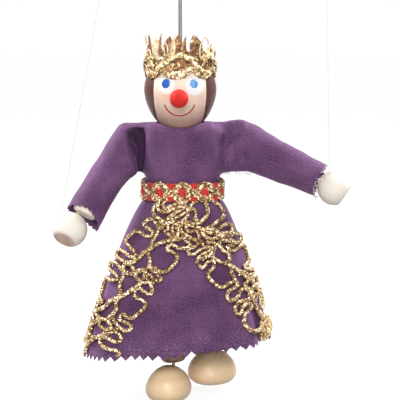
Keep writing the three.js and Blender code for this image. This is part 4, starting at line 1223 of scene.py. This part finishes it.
# Gold trim: looped cords stitched down the front in two strips that part below the belt.
# Each route lists where its cord passes in the 400 by 400 picture, and is laid on the skirt from there.
trim = {"strand": 0.7, "offset": 0.66, "pitch": 4.4, "seat": 1.35, "layer": 0.7, "step": 0.55}
picture = {"middle": view["frame"] / 2, "focal": view["lens"] / view["sensor"] * view["frame"]}
trimRoutes = {
    "left": [
        [(162, 199), (157, 205), (154.3, 211), (156.5, 216.5), (162, 220), (159.5, 225), (158.7, 232),
         (154.5, 239), (152.5, 246), (146, 251.5), (139.5, 258.5), (133.5, 262.5), (127, 262), (121, 258.5),
         (119, 254.5), (121.3, 250.8), (126, 252), (131.5, 256.5), (136, 257.5), (137.2, 253), (132, 247.3),
         (128.3, 242), (130, 237.3), (138.5, 231.2), (143.5, 233.5), (149, 236.5), (153.5, 234.5),
         (153, 231), (148.7, 228), (145, 224), (150.7, 219.3), (156, 222), (158, 227)],
        [(134, 262.5), (128.5, 264), (125.7, 268.5), (126.5, 273.5), (124.3, 279), (122.5, 285), (123, 292),
         (121, 297), (114, 301), (108, 307), (103, 310), (98, 309.5), (94.8, 306.5), (95, 302.3),
         (98.5, 299.5), (102, 301.3), (104.8, 303.5), (105, 299.8), (101.5, 295.5), (100.3, 289.5),
         (102, 283.5), (105, 279.5), (108.6, 278), (112.9, 280), (117, 281.2), (120, 279.2), (120, 276.5),
         (117.8, 273.8), (114, 270.8), (112.5, 266.8), (114, 263.6), (117.5, 263), (121, 265.3), (124, 270)],
        [(103, 310), (100, 312.5), (95, 314), (91.2, 315.8), (90, 319.7), (92, 324), (96.5, 325),
         (100.5, 321.5), (103, 317.5), (99, 314.5), (98, 320), (95.5, 326), (93.5, 331), (95, 335.5),
         (98, 338)],
        [(93.5, 326), (89, 328), (86.8, 331), (86, 338), (86.5, 345), (88, 350)],
        [(110, 334), (104, 336), (99.3, 338), (94.3, 341), (90.7, 345.5), (89.5, 350), (87.5, 354),
         (90, 357)],
        [(181, 239.5), (170, 240.3), (160, 243.5), (153.5, 247.5), (150, 251), (151.3, 257.5), (151.6, 264),
         (148.5, 268.5), (142.5, 270.8), (137.5, 273), (137.8, 277.5), (141.5, 280.2), (145.3, 278.3),
         (146.5, 273.5), (149.5, 268), (154, 267), (158, 268.5), (162, 271.5), (166, 271.5), (170.3, 268.7),
         (173.5, 265.3), (176.3, 261.3), (177.4, 257), (175.5, 254), (171.5, 251.5), (168.5, 250),
         (169, 246.5), (172.5, 244.6), (176.5, 247.3), (181.5, 248.2), (187, 247.5), (189, 243.5),
         (185, 240)],
        [(148.6, 267), (154.3, 270.4), (158.8, 274), (161.8, 278.3), (160.2, 280.9), (155.5, 279.3),
         (151, 275.2), (147.8, 273), (147, 277), (149.5, 281.3), (151.5, 284.3), (153.7, 289),
         (152.2, 293.3), (148.3, 293.2), (143.8, 290.5), (140.5, 287.5), (136.5, 289.5), (135, 294),
         (137.5, 297.6), (142, 298.6), (146, 302), (147.2, 305), (144.3, 308.8), (140.7, 312),
         (136.4, 315.5), (132, 317.8), (127.7, 316.8), (123.8, 314.2), (120.8, 316.5), (121.2, 320.3),
         (125, 322), (129.3, 323.5), (131.9, 327), (129.2, 329.8), (124.5, 330.3), (120.5, 327), (117, 323),
         (114.5, 318), (114, 313.5)],
        [(155, 282.3), (149, 282), (143, 282.5), (138, 286), (133.5, 289), (128, 293.5), (122.5, 297),
         (118.5, 301), (118.6, 307), (117.3, 312), (113.5, 316), (110, 320), (104.5, 319.5), (102.5, 323.5),
         (105, 328), (110, 330), (113.3, 326.5), (110.8, 321.6)],
        [(141.5, 271), (135.8, 270), (134, 265.5), (129.5, 264.5), (127, 268), (129, 272.8), (134.5, 274)],
        [(121, 328), (115, 329.5), (109, 331.5), (105, 335), (110, 333), (114, 331.5), (118.6, 332.6),
         (121.6, 336.8), (120, 341), (115.7, 341.5), (111, 339), (107.5, 337), (103.5, 338.5), (102, 342),
         (105, 346.3), (109, 348.5), (113.6, 349.8), (118, 351), (119.8, 353.3), (116.8, 355)],
    ],
    "right": [
        [(208, 198), (212, 201.3), (216, 204.7), (219.5, 208.7), (221.8, 213), (221.5, 217), (218.7, 220.3),
         (214.7, 222.8), (211, 225.8), (205, 228.5), (200, 229)],
        [(196, 226.5), (200.7, 228.7), (206, 229), (212, 229.6), (217.3, 228), (221.3, 225.5),
         (225.3, 224.7), (228.8, 227.2), (229.3, 230.7), (226.5, 233.4), (222, 233), (217, 234.5),
         (214, 237.5), (209, 238.8), (203.5, 236), (201, 232), (204, 231), (208, 232.8), (213, 232.6),
         (218, 231.5)],
        [(210, 239), (216, 238), (221, 236.5), (226, 236), (230.5, 234.3), (235, 235.3), (236.8, 239.3),
         (235, 243), (231.3, 243), (227, 241.5), (221, 240.7), (216.5, 243), (218.5, 247), (221.3, 250.7),
         (225.3, 254), (227, 258.5), (225.5, 262.5)],
        [(226, 239), (230, 240.5), (232.5, 243.5), (229, 245.5), (225.6, 246.3), (227, 249.5),
         (230.8, 250.8), (234, 248.8), (237.5, 246.6), (241.5, 245.7), (245.5, 248), (248.7, 252),
         (249.5, 256.7), (248, 260.7), (244.5, 264), (241.8, 266.8), (244.5, 269.5), (248, 270),
         (251, 268.8), (253, 271), (251.3, 274.2), (247, 275.5), (243.4, 274), (240, 272.5), (237, 274)],
        [(206, 243), (209.3, 242), (213.3, 243.8), (213.5, 247.5), (211.5, 252.5), (212.5, 257.5),
         (217.3, 261.3), (222, 263.3), (227.3, 264.7), (231, 267.5), (234.7, 270.3), (239, 274.5),
         (242.5, 278.5), (247, 280.5), (250.3, 283), (250.6, 287), (247, 290), (242.8, 288.4), (242, 285),
         (244, 281.5), (249, 278), (252.5, 277.3), (256, 279), (256.3, 282.8), (253.4, 286.5), (254, 290.5),
         (256, 292.5), (253, 295), (249.5, 293)],
        [(228.5, 265), (229, 271.3), (230.6, 276.3), (233.4, 281.5), (235, 285), (232.5, 287.7),
         (228.5, 290.2), (225.6, 293.5), (225.4, 297.5), (228.4, 300.5), (232.3, 299.3), (236, 295.8),
         (237, 291), (240.5, 290), (245.5, 292), (245, 295.6), (246.3, 298.6), (243, 300.6), (237.5, 301.5),
         (234.2, 305.3), (233.2, 310), (236.2, 314), (239.3, 312), (240, 307.5), (243, 304.5),
         (246.8, 305.3), (246.5, 309.5), (243, 313), (241.8, 318), (242.2, 323), (245, 328), (250, 331.5),
         (254.4, 330.5), (257.3, 326.5), (258.5, 322), (257.5, 317.5), (255, 313.5), (252, 309),
         (250, 304.5), (248.5, 300), (248, 295)],
        [(198.7, 241.5), (202, 243), (203, 247.5), (199.5, 250), (195.3, 252.8), (191.3, 254.8), (188, 252),
         (188.7, 248.7), (193, 247), (197, 244), (198.2, 239), (198, 234), (196.5, 229), (197, 225)],
        [(213, 245.5), (212.5, 249.5), (208.5, 250.5), (204.5, 252.5), (200.3, 255.5), (197.2, 259),
         (197.2, 263.5), (200.7, 267.2), (204.2, 266), (205.5, 262.8), (209, 261), (212, 260.5), (213, 265),
         (210.7, 269.5), (207.3, 272.8), (207, 276.5), (210, 280), (213.5, 283.5), (217.6, 286.5),
         (221.5, 286.8), (225, 285), (228.6, 282.8), (233, 281.5)],
        [(204, 247.5), (208, 247), (211, 249.5), (209.5, 254.5), (204.5, 257), (200.5, 259.5)],
        [(253.4, 294), (253.5, 299), (251.8, 304), (254.2, 308.5), (257.8, 312), (260, 316.3), (262.5, 320),
         (261, 325), (260, 330), (257.8, 335), (260, 338.8), (264.5, 337.5), (267, 333.4), (267, 327.7),
         (265.5, 322.7), (263, 318), (260, 314)],
        [(256.5, 289), (259.5, 291), (261.5, 295), (262, 300), (260.8, 306)],
        [(259, 322), (262.5, 326), (264.5, 331), (262, 335), (259, 331)],
    ],
    "middle": [
        [(168, 199), (164.5, 202), (163.5, 206), (166, 209), (170, 207), (175, 205), (181, 204), (186, 201),
         (190, 198)],
        [(160, 204), (158.5, 208), (161.5, 211), (166, 213), (171, 211), (176.5, 208.7), (182, 207.5),
         (188, 209)],
        [(186, 207), (180.7, 210.3), (175.3, 213.5), (170.7, 217.3), (165.3, 220.7), (160.5, 222.8)],
        [(190, 211), (185.5, 213), (180.7, 215.5), (175.3, 218.3), (171, 221), (168.3, 225), (168, 229),
         (165, 231.5), (168.7, 234.5), (172.7, 236.7), (174, 233.3), (172.5, 229.5), (174, 226), (178, 224),
         (181, 220.5)],
        [(180, 200), (183.5, 204.5), (187.5, 210), (187.5, 216), (184.5, 220), (181, 224), (178.5, 229),
         (178.5, 234), (176, 238), (171, 238.5)],
        [(202, 200), (204.8, 205), (206.3, 211), (205.3, 216), (202, 220), (198.7, 223.5), (194, 224),
         (188, 222.3), (183.5, 223.5), (180, 227)],
        [(197, 201), (193, 203.5), (190.5, 208), (194.8, 211), (195.3, 215), (194.5, 219.5), (198, 221.5)],
        [(196, 228), (191.5, 225.5), (186.8, 225.5), (185.8, 229.3), (190, 231.8), (194.8, 231),
         (197.5, 233)],
        [(176, 228), (180.5, 231.5), (184.5, 234.5), (189, 237.5), (194.5, 239.5), (197.5, 241.5)],
        [(171, 240), (177, 238.7), (183, 238.5), (188, 240), (189.5, 244), (191.5, 247.5)],
        [(158, 232), (163, 226.5), (168, 223), (173.5, 222), (176.5, 225.5), (181.5, 231), (183.5, 236)],
    ],
}
skirtTree = BVHTree.FromBMesh(skirtSheet)


def seenOnSkirt(across, down, lift):
    # The place over the skirt that shows at this point of the picture.
    up = Vector((0, math.sin(tilt), math.cos(tilt)))
    ray = (-away + Vector((1, 0, 0)) * (across - picture["middle"]) / picture["focal"]
           + up * (picture["middle"] - down) / picture["focal"]).normalized()
    hit, normal = skirtTree.ray_cast(camera.location, ray)[:2]
    if hit is None:
        beside = camera.location + ray * (-camera.location.y / ray.y)
        hit, normal = skirtTree.find_nearest(beside)[:2]
    outward = Vector((hit.x, hit.y, 0)).normalized()
    if normal.dot(outward) < 0:
        normal = -normal
    return hit + normal * lift


for part, routes in trimRoutes.items():
    lines = []
    for n, route in enumerate(routes):
        lift = (trim["seat"] + trim["layer"] * (n % 3)) * mm
        line = smoothLine([seenOnSkirt(*p, lift) for p in route], trim["step"] * mm)
        lines += strandsOf(line, 3, trim["offset"] * mm, trim["pitch"] * mm, start=n)
    piece = addPiece(f"trim_{part}", cordMesh(f"trim_{part}", lines, trim["strand"] * mm, 6), trimGold)
    rideOn(piece, "torso", "gold_lame", *(["skirt_trim"] if part == "left" else []))
    print("trim", part, len(piece.data.polygons))

# Fine pale ends of the same cord, tangled at the foot of each strip: middle and reach in the picture, count.
tangles = [((263, 326), (7.0, 13), 14), ((88.5, 330), (4.0, 15), 8), ((259, 300), (4.0, 12), 3),
           ((93, 306), (5, 9), 2)]
tangle = {"points": 9, "turn": (0.5, 1.2), "lift": (2.0, 3.3), "radius": 0.2}
random.seed(31)
lines = []
for (across, down), (wide, high), count in tangles:
    for _ in range(count):
        start = random.uniform(0, 2 * math.pi)
        route = []
        for k in range(tangle["points"]):
            turn, far = start + k * random.uniform(*tangle["turn"]), math.sqrt(random.uniform(0.1, 1))
            route.append((across + wide * far * math.cos(turn), down + high * far * math.sin(turn)))
        laid = [seenOnSkirt(*p, random.uniform(*tangle["lift"]) * mm) for p in route]
        lines.append(smoothLine(laid, 0.5 * mm))
mesh = cordMesh("trim_threads", lines, tangle["radius"] * mm, 5)
rideOn(addPiece("trim_threads", mesh, trimPale), "torso", "gold_lame")
skirtSheet.free()

# Crown: a crinkled foil band, ribbons folded over it, and leaves standing up from its edge.
crown = {"low": -55.7, "band": 14, "radius": 18.7, "lean": 1.3, "foil": 0.22, "bandOut": 0.35,
         "lobes": (-149, -102, -55, -7, 47, 98, 152), "lobeWide": 25, "notch": 4.2}


def crownAt(angle, height, outset):
    radius = crown["radius"] + outset - crown["lean"] * min(height, crown["band"]) / crown["band"]
    return point(radius * math.sin(angle), -radius * math.cos(angle), crown["low"] + height)


def lobeEdge(angle):
    # How far the band's lower edge stands up at this angle, least in the middle of a lobe.
    turns = [math.radians(t) for t in crown["lobes"]]
    near = min(abs((angle - t + math.pi) % (2 * math.pi) - math.pi) for t in turns)
    return crown["notch"] * min(1.0, near / math.radians(crown["lobeWide"])) ** 3


def crinkle(angle, height, scale, seed):
    # A smooth unevenness of the foil, from about -1 to 1.
    return noise.noise(Vector((math.sin(angle) * 19 / scale, math.cos(angle) * 19 / scale,
                               height / scale + seed)))


def crease(angle, height, scale, seed):
    # Sharp ridges with rounded hollows between them.
    return 1 - 3.2 * abs(crinkle(angle, height, scale, seed))


def foilPiece(name, bm, material, *nodes):
    bmesh.ops.remove_doubles(bm, verts=bm.verts, dist=1e-6)
    bmesh.ops.recalc_face_normals(bm, faces=bm.faces)
    mesh = evaluated(name, meshFrom(name + "Sheet", bm),
                     [("SOLIDIFY", {"thickness": crown["foil"] * mm, "offset": 0})])
    return rideOn(addPiece(name, mesh, material), "head", "gold_lame", *nodes)


bm = bmesh.new()
bmesh.ops.create_grid(bm, x_segments=300, y_segments=18, size=1)
for vert in bm.verts:
    angle, v = math.pi * vert.co.x, (vert.co.y + 1) / 2
    height = lobeEdge(angle) * (1 - v) + v * crown["band"]
    fold = 0.5 * crease(angle, height, 2.6, 0) + 0.26 * crease(angle, height, 1.1, 5)
    vert.co = crownAt(angle, height, crown["bandOut"] + fold)
foilPiece("crown_band", bm, crownBrown, "crown")

# Ribbons: two waved ones go all round, by height, swing and waves, the lower one along the lobes.
waved = [{"seed": 1, "wide": 4.2, "base": 2.5, "swing": 0.3, "waves": 7, "phase": 0.2, "lobed": 1},
         {"seed": 2, "wide": 3.4, "base": 12.0, "swing": 0.8, "waves": 5, "phase": 1.0, "lobed": 0}]
# Arches cross them, by degrees round the head, height and outset.
archWide = 3.0
arches = [[(-44, 3.6, 2.1), (-33, 6.6, 2.6), (-18, 9.8, 2.8), (-4, 12.8, 2.6), (10, 12.0, 2.8),
           (22, 8.6, 2.8), (34, 5.4, 2.4), (44, 3.4, 2.0)],
          [(-100, 4.0, 2.0), (-88, 8.5, 2.5), (-76, 12.2, 2.4), (-64, 12.0, 2.4), (-54, 9.0, 2.5),
           (-46, 6.0, 2.3)],
          [(40, 9.0, 2.3), (52, 12.2, 2.5), (66, 11.6, 2.5), (80, 7.6, 2.4), (92, 4.6, 2.0)],
          [(100, 4.2, 2.0), (116, 9.0, 2.5), (132, 12.5, 2.4), (148, 10.4, 2.5), (164, 5.6, 2.2),
           (176, 4.0, 2.0)],
          [(-176, 5.0, 2.0), (-162, 9.6, 2.5), (-146, 12.6, 2.4), (-130, 10.6, 2.5), (-116, 6.0, 2.2),
           (-104, 4.2, 2.0)]]


def ribbon(bm, route, wide, seed):
    # A folded strip of foil along a route, crinkled across its length.
    line = smoothLine([Vector(p) for p in route], 0.5)
    strip = bmesh.ops.create_grid(bm, x_segments=len(line) - 1, y_segments=6, size=1)["verts"]
    for vert in strip:
        u, v = (vert.co.x + 1) / 2, vert.co.y
        place = line[min(round(u * (len(line) - 1)), len(line) - 1)]
        angle = math.radians(place.x)
        reach = wide * (0.5 + 0.22 * crinkle(angle, 0, 1.6, seed + 3))
        height = place.y + v * reach
        fold = 0.6 * crease(angle, height, 2.8, seed) + 0.26 * crease(angle, height, 1.2, seed + 9)
        vert.co = crownAt(angle, height, place.z - 0.45 + fold - 0.5 * v * v)


bm = bmesh.new()
for w in waved:
    route = []
    for degrees in range(-180, 181, 6):
        angle = math.radians(degrees)
        height = w["base"] + w["swing"] * math.cos(w["waves"] * angle + w["phase"])
        route.append((degrees, height + w["lobed"] * lobeEdge(angle), 1.0))
    ribbon(bm, route, w["wide"], w["seed"])
foilPiece("crown_ribbons", bm, crownGold)
bm = bmesh.new()
for n, route in enumerate(arches):
    ribbon(bm, route, archWide, 10 + n)
foilPiece("crown_arches", bm, crownGold)

# Leaves: degrees at foot and tip, height of foot and tip, width, lean out, twist, bend, 1 for a blunt tip.
leaves = {
    "pale": [(-84, -91, 11, 24.2, 2.1, 1.3, 15, 0.2, 0), (-47, -41, 11, 23.4, 5.0, 1.0, 0, 0.5, 1),
             (-13, -8, 11, 24.0, 3.2, 1.3, 10, 0.5, 0), (-100, -96, 11, 21.6, 2.6, 1.2, -20, 0.5, 1),
             (-136, -133, 10, 21.8, 3.0, 0.6, 20, 0.4, 1), (-176, -179, 10, 22.2, 3.2, 0.6, -15, 0.4, 1),
             (153, 151, 10, 22.0, 4.4, 0.6, 15, 0.4, 1), (72, 76, 10, 16.2, 3.4, 1.2, -20, 0.5, 1),
             (98, 95, 10, 16.8, 3.8, 1.0, 20, 0.5, 1), (124, 128, 10, 16.4, 3.2, 1.0, -30, 0.4, 0),
             (-120, -116, 10, 16.8, 3.4, 1.2, -20, 0.5, 1), (168, 172, 10, 16.2, 3.0, 0.8, 20, 0.4, 0)],
    "brown": [(-65, -63, 11, 23.4, 3.4, 0.9, -10, 0.2, 0), (-38, -31, 11, 24.3, 2.9, 1.4, 25, 0.6, 1),
              (-21, -20, 11, 22.0, 4.0, 0.9, 0, 0.3, 1), (-6, -2, 11, 24.2, 3.4, 0.8, -8, 0.4, 1),
              (3, 10, 11, 22.8, 3.2, 0.9, -15, 0.3, 0), (-158, -160, 10, 22.4, 4.4, 0.2, 5, 0.3, 1),
              (86, 88, 10, 15.6, 2.8, 0.9, 45, 0.4, 0), (111, 114, 10, 16.2, 3.0, 0.9, -45, 0.4, 0),
              (139, 142, 10, 15.8, 3.0, 0.6, 20, 0.3, 1), (-147, -143, 10, 15.8, 3.2, 0.6, 40, 0.4, 0),
              (-109, -106, 10, 17.6, 2.8, 0.9, -40, 0.3, 0)],
    "beaded": [(31, 24, 11, 23.9, 6.8, 1.1, -4, 0.5, 1), (182, 178, 10, 18.4, 5.0, 0.6, 10, 0.5, 0),
               (-127, -130, 10, 18.0, 4.2, 0.8, -10, 0.5, 0)],
}


def leaf(bm, foot, tip, low, high, wide, lean, twist, bend, blunt):
    grid = bmesh.ops.create_grid(bm, x_segments=6, y_segments=14, size=1)["verts"]
    for vert in grid:
        u, v = vert.co.x, (vert.co.y + 1) / 2
        angle = math.radians(foot + (tip - foot) * v ** 1.4)
        belly = 0.62 + 0.6 * math.sin(math.pi * min(v * 0.85 + 0.1, 1))
        reach = 0.5 * wide * u * (belly * (1 - v ** (5 if blunt else 2.2) * 0.86))
        turn = math.radians(twist) * (0.35 + v)
        middle = crownAt(angle, low + (high - low) * v, 0.9 + lean * v * v + bend * math.sin(math.pi * v))
        tangent = Vector((math.cos(angle), math.sin(angle), 0))
        radial = Vector((math.sin(angle), -math.cos(angle), 0))
        rough = 0.14 * noise.noise(Vector((u * 3 + foot, v * 5, wide)))
        vert.co = (middle + tangent * reach * math.cos(turn) * mm
                   + radial * (reach * math.sin(turn) - 0.5 * u * u + rough) * mm)


for tone, material in (("pale", leafPale), ("brown", leafBrown), ("beaded", crownBrown)):
    bm = bmesh.new()
    for values in leaves[tone]:
        leaf(bm, *values)
    foilPiece(f"crown_leaves_{tone}", bm, material)

# Loose loops of foil edge that stand beside the leaves, by degrees, height and outset.
loops = [[(36, 12, 0.9), (35, 17, 1.6), (39, 21.4, 2.4), (46, 22.2, 2.6), (52, 19.5, 2.2), (54, 15, 1.4),
          (52, 12, 1.0)],
         [(-64, 13, 2.2), (-61, 15.4, 2.6), (-55, 15.2, 2.6), (-53, 12.6, 2.4), (-57, 10.6, 2.4),
          (-62, 11, 2.2)],
         [(-24, 12.5, 1.4), (-27, 17, 1.6), (-24, 19.4, 1.8), (-20, 17, 1.6), (-21, 12.5, 1.4)],
         [(112, 12, 1.4), (110, 16, 1.8), (115, 18.6, 2.2), (121, 16, 1.8), (120, 12, 1.4)]]
lines = [smoothLine([crownAt(math.radians(a), h, out) for a, h, out in loop], 0.5 * mm) for loop in loops]
rideOn(addPiece("crown_loops", cordMesh("crown_loops", lines, 0.4 * mm, 6), leafPale), "head", "gold_lame")
print("crown made")

# Floor, light and a white surround.
stage = {"floorZ": -235.3, "floorSize": 6, "floorTone": (0.15, 0.15, 0.15, 1), "floorGlow": 0.88,
         "white": (1, 1, 1, 1), "ambient": 0.18}
# Lamps: place and size in metres, and power in watts.
lamps = {"leftLight": ((-0.8, 0.3, 0.62), 0.5, 15), "rightLight": ((0.75, 0.32, 0.68), 0.5, 14),
         "frontLight": ((-0.12, -1.05, 0.5), 0.6, 7.2), "lowLight": ((0.15, -0.95, -0.06), 0.4, 2.6)}
lampTarget = Vector((0, 0, -0.12))


def seenDirectly(tree):
    # 1 for what the camera sees, also in gloss and through clear things, and 0 for the light on the object.
    rays = node(tree, "ShaderNodeLightPath").outputs
    return sums(tree, "MAXIMUM", rays["Is Camera Ray"],
                sums(tree, "MAXIMUM", rays["Is Glossy Ray"], rays["Is Transmission Ray"]))


world = bpy.data.worlds.new("surround")
scene.world = world
world.use_nodes = True
background = world.node_tree.nodes["Background"]
background.inputs["Color"].default_value = stage["white"]
feed(world.node_tree, background.inputs["Strength"],
     between(world.node_tree, seenDirectly(world.node_tree), 0, 1, stage["ambient"], 1.0))

floorWhite, tree, shader = surface("floorWhite", Roughness=0.9)
shader.inputs["Base Color"].default_value = stage["floorTone"]
shader.inputs["Emission Color"].default_value = stage["white"]
feed(tree, shader.inputs["Emission Strength"], times(tree, seenDirectly(tree), stage["floorGlow"]))
bm = bmesh.new()
bmesh.ops.create_grid(bm, x_segments=1, y_segments=1, size=stage["floorSize"],
                      matrix=Matrix.Translation(point(0, 0, stage["floorZ"])))
addPiece("floor", meshFrom("floor", bm), floorWhite)

for name, (place, size, power) in lamps.items():
    data = bpy.data.lights.new(name, "AREA")
    data.shape = "DISK"
    data.size = size
    data.energy = power
    made = bpy.data.objects.new(name, data)
    scene.collection.objects.link(made)
    made.location = place
    made.rotation_mode = "QUATERNION"
    made.rotation_quaternion = (lampTarget - Vector(place)).to_track_quat("-Z", "Y")

# The link, the eye and the trunk are shown as their own solids.
for shown, material in (("neck_link", steel), ("torso_eye", steel), ("torso_block", paleWood)):
    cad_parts[shown].data.materials.clear()
    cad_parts[shown].data.materials.append(material)
print("stage set")
